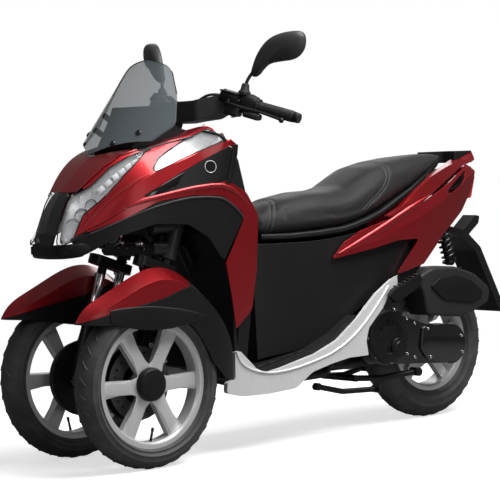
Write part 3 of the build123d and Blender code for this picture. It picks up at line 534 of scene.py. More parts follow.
class Form:
    """A mesh in the making, shaped with bmesh operators and then finished as a piece."""

    def __init__(self) -> None:
        """Starts with nothing."""
        self.mesh = bmesh.new()

    def _moved(self, verts: Iterable[bmesh.types.BMVert], at: Matrix) -> "Form":
        """Moves new vertices to their place."""
        bmesh.ops.transform(self.mesh, matrix=at, verts=list(verts))
        return self

    def rod(self, start: Point, end: Point, radius: float, end_radius: float | None = None,
            sides: int = 24) -> "Form":
        """Adds a round rod or cone.

        Args:
            start: middle of its first end.
            end: middle of its other end.
            radius: radius at the start.
            end_radius: radius at the end, or None for the same.
            sides: facets round it.

        Returns:
            The form.
        """
        way = Vector(end) - Vector(start)
        at = Matrix.Translation((Vector(start) + Vector(end)) / 2) @ aim(way)
        last = radius if end_radius is None else end_radius
        bmesh.ops.create_cone(self.mesh, cap_ends=True, segments=sides, radius1=radius,
                              radius2=last, depth=way.length, matrix=at)
        return self

    @staticmethod
    def _stretch(centre: Point, size: Point, turn: Matrix | None) -> Matrix:
        """The placing of a unit shape at that size, turned about its centre."""
        return Matrix.Translation(centre) @ (turn or Matrix.Identity(4)) @ Matrix.Diagonal((*size, 1.0))

    def block(self, centre: Point, size: Point, turn: Matrix | None = None) -> "Form":
        """Adds a block of that size, turned about its centre.

        Args:
            centre: its middle.
            size: its length along each of its own axes.
            turn: its turn, or None for none.

        Returns:
            The form.
        """
        at = self._stretch(centre, size, turn)
        bmesh.ops.create_cube(self.mesh, size=1.0, matrix=at)
        return self

    def ball(self, centre: Point, size: Point, turn: Matrix | None = None, rings: int = 16) -> "Form":
        """Adds an ellipsoid with those half-axes.

        Args:
            centre: its middle.
            size: its half-axes.
            turn: its turn, or None for none.
            rings: rings from pole to pole.

        Returns:
            The form.
        """
        at = self._stretch(centre, size, turn)
        bmesh.ops.create_uvsphere(self.mesh, u_segments=rings * 2, v_segments=rings, radius=1.0,
                                  matrix=at)
        return self

    def lathe(self, profile: Sequence[tuple[float, float]], centre: Point, axis: Point,
              steps: int = 72, closed: bool = False) -> "Form":
        """Spins (radius, height) points round an axis.

        Args:
            profile: the points in order.
            centre: where height nought is.
            axis: the way that height grows.
            steps: facets round it.
            closed: True where the last point joins the first.

        Returns:
            The form.
        """
        verts = [self.mesh.verts.new((radius, 0.0, height)) for radius, height in profile]
        pairs = list(zip(verts, verts[1:])) + ([(verts[-1], verts[0])] if closed else [])
        edges = [self.mesh.edges.new(pair) for pair in pairs]
        before = set(self.mesh.verts) - set(verts)
        bmesh.ops.spin(self.mesh, geom=verts + edges, cent=(0, 0, 0), axis=(0, 0, 1),
                       angle=math.tau, steps=steps, use_merge=True)
        fresh = [v for v in self.mesh.verts if v not in before]
        bmesh.ops.remove_doubles(self.mesh, verts=fresh, dist=1e-7)
        fresh = [v for v in self.mesh.verts if v not in before]
        return self._moved(fresh, Matrix.Translation(centre) @ aim(axis))

    def collar(self, radii: tuple[float, float], half: float, centre: Point, axis: Point,
               steps: int) -> "Form":
        """Adds a square-edged ring.

        Args:
            radii: its inner and outer radius.
            half: half of its width along the axis.
            centre: its middle.
            axis: the axis that it goes round.
            steps: facets round it.

        Returns:
            The form.
        """
        inner, outer = radii
        profile = [(inner, -half), (outer, -half), (outer, half), (inner, half)]
        return self.lathe(profile, centre, axis, steps, closed=True)

    def plate(self, outline: Sequence[tuple[float, float]], depth: float, at: Matrix,
              corner: float = 0.0) -> "Form":
        """Adds a flat plate.

        Args:
            outline: its corners.
            depth: its thickness, along the local Z.
            at: the placing of the local X-Y plane.
            corner: radius of the outline's corners.

        Returns:
            The form.
        """
        before = set(self.mesh.verts)
        verts = [self.mesh.verts.new((u, v, 0.0)) for u, v in outline]
        face = self.mesh.faces.new(verts)
        if corner:
            bmesh.ops.bevel(self.mesh, geom=verts, offset=corner, offset_type="OFFSET",
                            affect="VERTICES", segments=4, profile=0.5, material=-1)
            face = next(f for v in self.mesh.verts if v not in before for f in v.link_faces)
        self._thicken(face, (0.0, 0.0, depth))
        return self._moved([v for v in self.mesh.verts if v not in before], at)

    def slab(self, corners: Sequence[Vector], step: Point) -> "Form":
        """Adds a plate through corners in space, as thick as the step."""
        self._thicken(self.mesh.faces.new([self.mesh.verts.new(spot) for spot in corners]), step)
        return self

    def _thicken(self, face: bmesh.types.BMFace, step: Point) -> None:
        """Turns a face into a solid by moving a copy of it.

        Args:
            face: the face.
            step: how far the copy moves.
        """
        raised = bmesh.ops.extrude_face_region(self.mesh, geom=[face], use_keep_orig=True)
        tops = [g for g in raised["geom"] if isinstance(g, bmesh.types.BMVert)]
        bmesh.ops.translate(self.mesh, verts=tops, vec=step)

    def loft(self, rings: Sequence["Ring"], sides: int) -> "Form":
        """Bridges rounded rings, each of so many points, into one closed skin.

        Args:
            rings: the rings in order.
            sides: points on each ring.

        Returns:
            The form.
        """
        loops = [ring.draw(self.mesh, sides) for ring in rings]
        for near, far in zip(loops, loops[1:]):
            bmesh.ops.bridge_loops(self.mesh, edges=near + far)
        bmesh.ops.holes_fill(self.mesh, edges=loops[0] + loops[-1], sides=sides + 1)
        return self

    def hose(self, points: Sequence[Point], radius: float) -> "Form":
        """Adds a tube along a smooth curve.

        Args:
            points: the curve's control points.
            radius: the tube's radius.

        Returns:
            The form.
        """
        curve = bpy.data.curves.new("hose", "CURVE")
        curve.dimensions = "3D"
        spline = curve.splines.new("NURBS")
        spline.points.add(len(points) - 1)
        for knot, point in zip(spline.points, points):
            knot.co = (*point, 1.0)
        spline.order_u = 3
        spline.use_endpoint_u = True
        curve.bevel_depth = radius
        curve.bevel_resolution = 4
        curve.resolution_u = 8
        curve.use_fill_caps = True
        holder = bpy.data.objects.new("hose", curve)
        mesh = bpy.data.meshes.new_from_object(holder)
        self.mesh.from_mesh(mesh)
        bpy.data.objects.remove(holder)
        bpy.data.curves.remove(curve)
        bpy.data.meshes.remove(mesh)
        return self

    def bolt(self, head: Point, way: Point, size: float) -> "Form":
        """Adds a bolt head with a washer and a round sunken socket, facing that way.

        Args:
            head: middle of the head's seat.
            way: the way that the head faces.
            size: radius of the head.

        Returns:
            The form.
        """
        r, h = size, size * 0.75
        rim = [(0.0, -h), (r * 1.35, -h), (r * 1.4, 0.0), (r, 0.0), (r, h * 0.8), (r * 0.86, h),
               (r * 0.52, h), (r * 0.48, h * 0.35), (0.0, h * 0.35)]
        return self.lathe(rim, head, way, 18)

    def copied(self, mesh: bpy.types.Mesh) -> "Form":
        """Adds a merged copy of a CAD node's mesh.

        Args:
            mesh: the node's mesh.

        Returns:
            The form.
        """
        self.mesh.from_mesh(mesh)
        bmesh.ops.remove_doubles(self.mesh, verts=self.mesh.verts, dist=1e-6)
        return self

    def soften(self, width: float, segments: int = 2) -> "Form":
        """Rounds every sharp edge.

        Args:
            width: width of the rounding.
            segments: facets across it.

        Returns:
            The form.
        """
        limit = math.radians(SHARP_DEGREES)
        sharp = [e for e in self.mesh.edges if e.is_manifold and e.calc_face_angle(0.0) > limit]
        bmesh.ops.bevel(self.mesh, geom=sharp, offset=width, offset_type="OFFSET", affect="EDGES",
                        segments=segments, profile=0.5, material=-1, clamp_overlap=True)
        return self

    def baked(self, name: str) -> bpy.types.Mesh:
        """Ends the form as a mesh with its faces turned outwards.

        Args:
            name: the mesh's name.

        Returns:
            The mesh.
        """
        bmesh.ops.recalc_face_normals(self.mesh, faces=self.mesh.faces)
        mesh = bpy.data.meshes.new(name)
        self.mesh.to_mesh(mesh)
        self.mesh.free()
        return mesh

    def piece(self, name: str, body: Body, finish: "Finish",
              smooth: float = SHARP_DEGREES) -> bpy.types.Object:
        """Ends the form as a piece that rides on a body.

        Args:
            name: the piece's name.
            body: what it moves with.
            finish: its finish.
            smooth: edges sharper than this many degrees stay crisp.

        Returns:
            The finished object.
        """
        mesh = self.baked(name)
        mesh.shade_smooth()
        mesh.set_sharp_from_angle(angle=math.radians(smooth))
        mesh.materials.append(finish.material())
        made = linked(name, mesh)
        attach(made, body.value)
        LOG.info("%s: %d faces on %s", name, len(mesh.polygons), body.value)
        return made


def aim(way: Point) -> Matrix:
    """The turn that takes the local Z to a direction."""
    return Vector(way).to_track_quat("Z", "Y").to_matrix().to_4x4()


def linked(name: str, data: bpy.types.ID) -> bpy.types.Object:
    """A new object in the scene.

    Args:
        name: the object's name.
        data: its mesh, light or camera.

    Returns:
        The object.
    """
    made = bpy.data.objects.new(name, data)
    bpy.context.scene.collection.objects.link(made)
    return made


def mirrored(point: Point, side: int) -> Vector:
    """A point or direction of the left side: 1 keeps it there, -1 takes it to the right."""
    return Vector((point[0], point[1] * side, point[2]))


def facing(*axes: Vector) -> Matrix:
    """The turn that takes the local X, Y and Z to three directions."""
    return Matrix([[axis[row] for axis in axes] for row in range(3)]).to_4x4()


def upright(y: float) -> Matrix:
    """The placing of a flat outline in the X-Z plane at that Y."""
    return Matrix(((1, 0, 0, 0), (0, 0, 1, y), (0, 1, 0, 0), (0, 0, 0, 1)))


def run_at(line: Sequence[Vector], number: int) -> Vector:
    """The direction of a line of points at one of them."""
    return (line[min(number + 1, len(line) - 1)] - line[max(number - 1, 0)]).normalized()


def beading(mesh: bpy.types.Mesh, core: Vector, radius: float) -> Form:
    """A bead along the crisp outer edges of a CAD node.

    Args:
        mesh: the node's mesh.
        core: a point inside; an outer face looks away from it.
        radius: the bead's radius.

    Returns:
        The bead as a form.
    """
    source, form = Form().copied(mesh), Form()
    for edge in source.mesh.edges:
        if not edge.is_manifold or edge.calc_face_angle(0.0) < math.radians(BEADED_DEGREES):
            continue
        start, end = (v.co.copy() for v in edge.verts)
        middle = (start + end) / 2
        face = max(edge.link_faces, key=lambda f: f.normal.dot((middle - core).normalized()))
        if face.normal.dot((middle - core).normalized()) > 0.45:
            form.rod(start, end, radius, sides=6)
    source.mesh.free()
    return form


@dataclass
class Ring:
    """A rounded cross-section: an ellipse squared off towards a rectangle."""

    centre: Point
    half: tuple[float, float]
    across: Point = LEFT
    up: Point = UP
    square: float = 2.0

    def draw(self, mesh: bmesh.types.BMesh, sides: int) -> list[bmesh.types.BMEdge]:
        """Adds the ring's points and edges.

        Args:
            mesh: the mesh to add to.
            sides: points on the ring.

        Returns:
            Its edges.
        """
        made = bmesh.ops.create_circle(mesh, segments=sides, radius=1.0)["verts"]
        for vert in made:
            u, v = vert.co.x, vert.co.y
            reach = (abs(u) ** self.square + abs(v) ** self.square) ** (-1.0 / self.square)
            vert.co = (Vector(self.centre) + Vector(self.across) * (u * reach * self.half[0])
                       + Vector(self.up) * (v * reach * self.half[1]))
        return list({edge for vert in made for edge in vert.link_edges})


# ---------------------------------------------------------------- tyres and wheels


@dataclass
class Tyre:
    """A tyre with sidewall ribs and slanted tread grooves."""

    name: str
    node: str
    body: Body
    axle: Point
    outer: float
    width: float
    rim: float
    pitches: int = 34
    columns: int = 9
    slant: float = 0.75
    depth: float = 0.0022
    tread: float = 0.4
    slots: tuple[float, float] = (0.1, 0.62)
    slant_end: float = 0.85
    slant_turn: float = 0.28

    def _profile(self) -> list[tuple[float, float]]:
        """Closed section as (radius, height) points, from the crown round the bead and back.

        Returns:
            The section's points.
        """
        half, wall = self.width / 2, self.outer - self.rim
        right = [
            (self.outer - 0.0006, 0.0), (self.outer - 0.001, half * 0.14),
            (self.outer - wall * 0.03, half * 0.3), (self.outer - wall * 0.075, half * 0.46),
            (self.outer - wall * 0.15, half * 0.62), (self.outer - wall * 0.25, half * 0.77),
            (self.outer - wall * 0.36, half * 0.89), (self.outer - wall * 0.4, half * 0.945),
            (self.outer - wall * 0.43, half * 0.93), (self.outer - wall * 0.5, half * 0.975),
            (self.outer - wall * 0.62, half * 0.965), (self.outer - wall * 0.64, half * 0.99),
            (self.outer - wall * 0.67, half * 0.99), (self.outer - wall * 0.69, half * 0.955),
            (self.outer - wall * 0.84, half * 0.87), (self.outer - wall * 0.86, half * 0.9),
            (self.outer - wall * 0.9, half * 0.89), (self.outer - wall * 0.93, half * 0.8),
            (self.rim + 0.001, half - 0.014), (self.rim - 0.006, half - 0.024),
        ]
        left = [(radius, -height) for radius, height in reversed(right[1:])]
        return right + left

    def build(self) -> bpy.types.Object:
        """Makes the tyre in place of its CAD node.

        Returns:
            The tyre.
        """
        form = Form()
        steps = self.pitches * self.columns
        form.lathe(self._profile(), self.axle, LEFT, steps, closed=True)
        self._groove(form.mesh, steps)
        self._slant(form.mesh)
        made = form.piece(self.name, self.body, TYRE, 50.0)
        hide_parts(self.node)
        return made

    def _angle(self, point: Vector) -> float:
        """Angle of a point round the axle."""
        return math.atan2(point.z - self.axle[2], point.x - self.axle[0])

    def _groove(self, mesh: bmesh.types.BMesh, steps: int) -> None:
        """Sinks a slot into the tread at each pitch, one side half a pitch after the other.

        Args:
            mesh: the tyre's mesh.
            steps: facets round the tyre.
        """
        half = self.width / 2
        chosen = []
        for face in mesh.faces:
            middle = face.calc_center_median()
            across = (middle.y - self.axle[1]) / half
            radius = math.hypot(middle.x - self.axle[0], middle.z - self.axle[2])
            inside = radius < self.outer - (self.outer - self.rim) * self.tread
            if inside or not self.slots[0] < abs(across) < self.slots[1]:
                continue
            column = int((self._angle(middle) + math.pi) / math.tau * steps) % self.columns
            if column == (1 if across > 0 else 1 + self.columns // 2):
                chosen.append(face)
        bmesh.ops.inset_region(mesh, faces=chosen, thickness=0.0008, depth=-self.depth,
                               use_even_offset=True)

    def _slant(self, mesh: bmesh.types.BMesh) -> None:
        """Turns points about the axle by how far out they are, so that the slots lean back.

        Args:
            mesh: the tyre's mesh.
        """
        for vert in mesh.verts:
            reach = min(abs(vert.co.y - self.axle[1]) / (self.width / 2), self.slant_end)
            turn = Matrix.Rotation(self.slant * reach * self.slant_turn, 4, "Y")
            around = Matrix.Translation(self.axle) @ turn @ Matrix.Translation(-Vector(self.axle))
            vert.co = around @ vert.co


@dataclass
class FrontWheel:
    """A front wheel's tyre and trim: hub cap, arm faces, rim lip, valve and disc bolts."""

    side: int
    axle_x: float = 0.7025
    axle_z: float = 0.25
    half_track: float = 0.1925
    tyre_radius: float = 0.25
    tyre_width: float = 0.092
    rim: float = 0.19
    arm_face_y: float = 0.0124
    bolt_circle: float = 0.056
    arm_face: tuple[tuple[float, float], ...] = (
        (0.0, 0.040), (0.0, 0.060), (0.012, 0.070), (0.068, 0.157), (0.085, 0.149), (0.1005, 0.1385),
        (0.064, 0.082), (0.050, 0.052), (0.044, 0.024), (0.020, 0.030),
    )

    def _face_plane(self, centre: Point, turn: float) -> Matrix:
        """The arms' outer face, with its local Y along the middle of a pair of arms.

        Args:
            centre: the wheel's middle.
            turn: degrees round the axle.

        Returns:
            The placing of that face's plane.
        """
        out = mirrored(LEFT, self.side)
        up = Matrix.Rotation(math.radians(turn), 3, "Y") @ Vector(UP)
        return Matrix.Translation(Vector(centre) + out * self.arm_face_y) @ facing(up.cross(out), up, out)

    def build(self) -> None:
        """Makes the tyre and the trim."""
        word = "left" if self.side > 0 else "right"
        body = Body.LEFT_WHEEL if self.side > 0 else Body.RIGHT_WHEEL
        centre = (self.axle_x, self.half_track * self.side, self.axle_z)
        Tyre(f"tyre_front_{word}", f"front_tyre_{word}", body, centre, outer=self.tyre_radius,
             width=self.tyre_width, rim=self.rim).build()
        out = mirrored(LEFT, self.side)
        cap = Form().lathe([(0.0, 0.0372), (0.026, 0.0370), (0.034, 0.0362), (0.037, 0.0348),
                            (0.0395, 0.0352), (0.045, 0.0335), (0.049, 0.0290), (0.0505, 0.0210),
                            (0.0505, 0.0125), (0.0, 0.0125)], centre, out, 56)
        cap.piece(f"hub_cap_{word}", body, SATIN_BLACK)
        faces = Form()
        for turn in range(3):
            for part in (self.arm_face, [(-u, v) for u, v in reversed(self.arm_face)]):
                faces.plate(part, 0.0034, self._face_plane(centre, turn * 120.0), 0.0)
        faces.soften(0.0013, segments=2)
        faces.piece(f"arm_faces_{word}", body, BARE_ALLOY)
        lip = Form().lathe([(self.rim - 0.0015, 0.0298), (self.rim - 0.0135, 0.0298),
                            (self.rim - 0.0155, 0.0290), (self.rim - 0.0155, 0.0275),
                            (self.rim - 0.0010, 0.0275)], centre, out, 120,
                           closed=True)
        lip.piece(f"rim_lip_{word}", body, MACHINED)
        valve = Form()
        foot = Vector(centre) + mirrored((0.004, 0.012, -(self.rim - 0.022)), self.side)
        bend = foot + mirrored((0.0, 0.010, 0.030), self.side)
        valve.rod(foot, bend, 0.0042, 0.0034, 16)
        valve.rod(bend, foot + mirrored((0.0, 0.013, 0.040), self.side), 0.0044, 0.0044, 16)
        valve.piece(f"valve_{word}", body, SOFT_RUBBER)
        bolts = Form()
        for turn in range(5):
            angle = math.radians(72 * turn)
            spot = Vector(centre) + Vector((self.bolt_circle * math.cos(angle), -0.0420 * self.side,
                                            self.bolt_circle * math.sin(angle)))
            bolts.bolt(spot, -out, 0.0055)
        bolts.piece(f"disc_bolts_{word}", body, STEEL)


# ---------------------------------------------------------------- seat


@dataclass(frozen=True)
class Seam:
    """A sewn line over the seat, from one side's foot to the other's."""

    top_x: float
    side_x: float
    power: float
    centre_z: float

    def x_at(self, angle: float) -> float:
        """Where along the seat the seam is, at an angle up from the left side."""
        return self.top_x + (self.side_x - self.top_x) * abs(math.cos(angle)) ** self.power

    def offset(self, step: float) -> "Seam":
        """The same seam, moved along the seat."""
        return Seam(self.top_x + step, self.side_x + step, self.power, self.centre_z)


@dataclass
class Saddle:
    """The stepped seat: a stuffed cover with sewn seams on a plastic pan."""

    sections: tuple[tuple[float, float, float, float], ...] = (
        (0.183, 0.050, 0.652, 0.704), (0.150, 0.088, 0.648, 0.727), (0.100, 0.106, 0.646, 0.743),
        (0.040, 0.122, 0.646, 0.762), (-0.060, 0.137, 0.650, 0.777), (-0.150, 0.145, 0.657, 0.779),
        (-0.205, 0.146, 0.667, 0.789), (-0.260, 0.144, 0.681, 0.817), (-0.320, 0.140, 0.700, 0.846),
        (-0.390, 0.131, 0.730, 0.863), (-0.480, 0.118, 0.768, 0.873), (-0.580, 0.090, 0.815, 0.879),
        (-0.655, 0.058, 0.850, 0.881), (-0.684, 0.036, 0.864, 0.881),
    )
    seams: tuple[Seam, ...] = (Seam(0.050, 0.116, 1.6, 0.66), Seam(-0.386, -0.243, 7.0, 0.70))
    row_gap: float = 0.016
    voxel: float = 0.008
    swell: float = 0.006
    frames: int = 14
    pressure: float = 4.0
    tension: float = 40.0
    bending: float = 4.0
    stitch: float = 0.0062
    pitch: float = 0.0085
    seam_width: float = 0.006
    seam_depth: float = 0.0022
    foot_slope: float = -0.35

    def build(self) -> None:
        """Makes the cover, its stitches and its pan."""
        cover = self._cover()
        self._stuff(cover)
        self._subdivide(cover)
        rows = [seam.offset(step) for seam in self.seams for step in (0.0, self.row_gap)]
        self._sink(cover, rows)
        self._sew(cover, rows)
        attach(cover, Body.SEAT.value)
        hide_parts("seat")
        self._pan()

    def _cover(self) -> bpy.types.Object:
        """The unstuffed cover: one crowned skin along the seat, remeshed evenly.

        Returns:
            The cover.
        """
        form = Form()
        rings = [Ring((x, 0.0, (low + high) / 2), (half - 0.003, (high - low) / 2), square=2.7)
                 for x, half, low, high in self.sections]
        form.loft(rings, 56)
        made = linked("seat_cover", form.baked("seat_cover"))
        even = made.modifiers.new("even", "REMESH")
        even.mode = "VOXEL"
        even.voxel_size = self.voxel
        self._apply(made)
        made.data.materials.append(VINYL.material())
        return made

    @staticmethod
    def _apply(made: bpy.types.Object) -> None:
        """Bakes the piece's modifiers into its mesh.

        Args:
            made: the piece.
        """
        graph = bpy.context.evaluated_depsgraph_get()
        graph.update()
        mesh = bpy.data.meshes.new_from_object(made.evaluated_get(graph))
        made.modifiers.clear()
        made.data = mesh
        mesh.shade_smooth()

    def _stuff(self, cover: bpy.types.Object) -> None:
        """Blows the cover up as cloth over its foam, with its foot held to the pan.

        Args:
            cover: the seat's cover.
        """
        rest = [v.co.copy() for v in cover.data.vertices]
        held = cover.vertex_groups.new(name="held")
        foot = [v.index for v in cover.data.vertices if v.normal.z < self.foot_slope]
        held.add(foot, 1.0, "REPLACE")
        cloth = cover.modifiers.new("cloth", "CLOTH")
        cloth.settings.use_pressure = True
        cloth.settings.uniform_pressure_force = self.pressure
        cloth.settings.effector_weights.gravity = 0.0
        cloth.settings.vertex_group_mass = "held"
        cloth.settings.tension_stiffness = self.tension
        cloth.settings.bending_stiffness = self.bending
        for frame in range(1, self.frames + 1):
            bpy.context.scene.frame_set(frame)
        self._apply(cover)
        for vert, start in zip(cover.data.vertices, rest):
            move = vert.co - start
            if move.length > self.swell:
                vert.co = start + move.normalized() * self.swell
        cover.vertex_groups.clear()
        bpy.context.scene.frame_set(1)

    def _subdivide(self, cover: bpy.types.Object) -> None:
        """Adds one subdivision.

        Args:
            cover: the seat's cover.
        """
        finer = cover.modifiers.new("finer", "SUBSURF")
        finer.levels = finer.render_levels = 1
        self._apply(cover)

    def _sink(self, cover: bpy.types.Object, rows: Sequence[Seam]) -> None:
        """Draws the cover in along its seams.

        Args:
            cover: the seat's cover.
            rows: the seams.
        """
        normals = [vert.normal.copy() for vert in cover.data.vertices]
        for vert, normal in zip(cover.data.vertices, normals):
            pull = 0.0
            for seam in rows:
                angle = math.atan2(vert.co.z - seam.centre_z, vert.co.y)
                if angle > -0.4 or angle < -math.pi + 0.4:
                    away = abs(vert.co.x - seam.x_at(angle)) / self.seam_width
                    pull = max(pull, math.exp(-away * away))
            vert.co -= normal * self.seam_depth * pull

    def _sew(self, cover: bpy.types.Object, rows: Sequence[Seam]) -> None:
        """Lays a row of stitches along each seam.

        Args:
            cover: the seat's cover.
            rows: the seams.
        """
        form = Form()
        skin = BVHTree.FromPolygons([v.co for v in cover.data.vertices],
                                    [p.vertices for p in cover.data.polygons])
        for seam in rows:
            spots: list[tuple[Vector, Vector]] = []
            travelled = self.pitch
            for number in range(901):
                angle = math.radians(-8 + 196 * number / 900)
                start = Vector((seam.x_at(angle), 0.0, seam.centre_z))
                way = Vector((0.0, math.cos(angle), math.sin(angle)))
                place, normal, _, _ = skin.ray_cast(start + way * 0.4, -way)
                if place is None:
                    continue
                travelled += (place - last).length if number and spots else 0.0
                last = place
                if travelled >= self.pitch or not spots:
                    spots.append((place + normal * 0.0002, normal))
                    travelled = 0.0
            for (here, normal), (after, _) in zip(spots, spots[1:]):
                run = (after - here).normalized() * self.stitch
                form.ball(here + run / 2, (0.00075, 0.00075, self.stitch / 2), aim(run), 4)
        form.piece("seat_stitching", Body.SEAT, THREAD, 60.0)

    def _pan(self) -> None:
        """The plastic pan that the cover is stapled to."""
        form = Form()
        rings = [Ring((x, 0.0, low + 0.002), (half * 0.93, 0.013), square=5.0)
                 for x, half, low, _ in self.sections[1:]]
        form.loft(rings, 32)
        form.piece("seat_pan", Body.SEAT, CHARCOAL, 40.0)


# ---------------------------------------------------------------- lamps, screen and mirrors


@dataclass
class Lamps:
    """What shows behind the clear lenses at the front and the red one behind."""

    nodes: dict[str, bpy.types.Object]
    inset: float = 0.014
    turn_lamp_from: float = 0.6
    bowls: tuple[tuple[float, float, float, float], ...] = (
        (0.868, 0.078, 0.722, 0.024), (0.846, 0.092, 0.752, 0.022), (0.818, 0.104, 0.782, 0.019),
    )
    strip: tuple[Point, ...] = (
        (0.792, 0.122, 0.832), (0.750, 0.138, 0.868), (0.706, 0.146, 0.896), (0.660, 0.150, 0.920),
        (0.618, 0.150, 0.938),
    )

    def build(self) -> None:
        """Makes the reflectors, bowls and light strips."""
        self._reflector()
        self._bowls()
        self._strips()
        self._tail()

    def _reflector(self) -> None:
        """A bright shell a little behind each lens, and a bead round the lens."""
        form = Form().copied(self.nodes["front_lamps"].data)
        waiting = set(form.mesh.verts)
        while waiting:
            lamp, edge = set(), {waiting.pop()}
            while edge:
                lamp |= edge
                edge = {e.other_vert(v) for v in edge for e in v.link_edges} - lamp
            waiting -= lamp
            middle = sum((v.co for v in lamp), Vector()) / len(lamp)
            turn_lamp = middle.x < self.turn_lamp_from
            share, size = (0.3, 0.975) if turn_lamp else (0.8, 0.93)
            for vert in lamp:
                inward = math.copysign(self.inset * share, vert.co.y)
                back = Vector((-self.inset * share * 0.9, -inward, -self.inset * share * 0.4))
                vert.co = middle.lerp(vert.co, size) + back
        form.piece("lamp_reflectors", Body.CHASSIS, REFLECTOR)
        gaskets = beading(self.nodes["front_lamps"].data, Vector((0.50, 0.0, 0.78)), 0.0019)
        gaskets.piece("lamp_gaskets", Body.CHASSIS, GLOSS_BLACK, 60.0)

    def _bowls(self) -> None:
        """Bowl reflectors with their rims and bulbs, low in each headlamp."""
        bowls, bulbs, rims = Form(), Form(), Form()
        for x, y, z, radius in self.bowls:
            for side in (1, -1):
                way = Vector((0.86, 0.45 * side, 0.12))
                centre = Vector((x, y * side, z)) - way * 0.010
                bowls.lathe([(radius, 0.004), (radius * 0.86, -0.006), (radius * 0.5, -0.015),
                             (radius * 0.2, -0.018), (0.0, -0.018), (0.0, -0.020),
                             (radius * 0.24, -0.020), (radius * 0.56, -0.0165), (radius * 0.94, -0.007),
                             (radius * 1.06, 0.004)],
                            centre, way, 32)
                rims.lathe([(radius * 0.93, 0.001), (radius * 0.94, 0.004), (radius * 1.03, 0.004),
                            (radius * 1.04, 0.001)],
                           centre, way, 40, closed=True)
                bulbs.ball(centre - way * 0.011, (0.005, 0.005, 0.007), aim(way), 10)
        bowls.piece("headlamp_bowls", Body.CHASSIS, CHROME, 50.0)
        bulbs.piece("headlamp_bulbs", Body.CHASSIS, LENS, 60.0)
        rims.piece("headlamp_rims", Body.CHASSIS, GLOSS_BLACK, 50.0)

    def _strips(self) -> None:
        """A row of light blocks up each side."""
        form = Form()
        for side in (1, -1):
            points = [Vector((x - 0.008, (y - 0.010) * side, z - 0.006)) for x, y, z in self.strip]
            for near, far in zip(points, points[1:]):
                for share in (0.0, 0.5):
                    spot = near.lerp(far, share)
                    turn = aim(far - near)
                    form.block(spot, (0.012, 0.016, (far - near).length * 0.42), turn)
        form.soften(0.002)
        form.piece("light_strips", Body.CHASSIS, GLOW)

    def _tail(self) -> None:
        """Light blocks behind the tail lens."""
        form = Form()
        for row in range(3):
            for column in range(5):
                form.block((-0.806 + row * 0.004, (column - 2) * 0.019, 0.756 + row * 0.026),
                           (0.008, 0.013, 0.016))
        form.soften(0.0015)
        form.piece("tail_lights", Body.CHASSIS, REFLECTOR)


@dataclass
class Contour:
    """A closed outline in a plane, drawn to the same number of points at any size."""

    points: Sequence[tuple[float, float]]
    plane: Matrix
    middle: tuple[float, float]
    size: float
    height: float

    def draw(self, mesh: bmesh.types.BMesh, sides: int) -> list[bmesh.types.BMEdge]:
        """Adds the outline's points and edges, evenly spread.

        Args:
            mesh: the mesh to add to.
            sides: points on the outline.

        Returns:
            Its edges.
        """
        made = bmesh.ops.create_circle(mesh, segments=sides, radius=1.0)["verts"]
        rounded = self._rounded()
        lengths = [0.0]
        for near, far in zip(rounded, rounded[1:] + rounded[:1]):
            lengths.append(lengths[-1] + (far - near).length)
        for number, vert in enumerate(made):
            goal, at = lengths[-1] * number / sides, 0
            while lengths[at + 1] < goal:
                at += 1
            share = (goal - lengths[at]) / (lengths[at + 1] - lengths[at])
            spot = rounded[at].lerp(rounded[(at + 1) % len(rounded)], share)
            u = self.middle[0] + (spot.x - self.middle[0]) * self.size
            v = self.middle[1] + (spot.y - self.middle[1]) * self.size
            vert.co = self.plane @ Vector((u, v, self.height))
        return list({edge for vert in made for edge in vert.link_edges})

    def _rounded(self) -> list[Vector]:
        """The outline with its corners cut twice.

        Returns:
            The outline's points.
        """
        line = [Vector((u, v)) for u, v in self.points]
        for _ in range(2):
            pairs = zip(line, line[1:] + line[:1])
            line = [near.lerp(far, share) for near, far in pairs for share in (0.25, 0.75)]
        return line


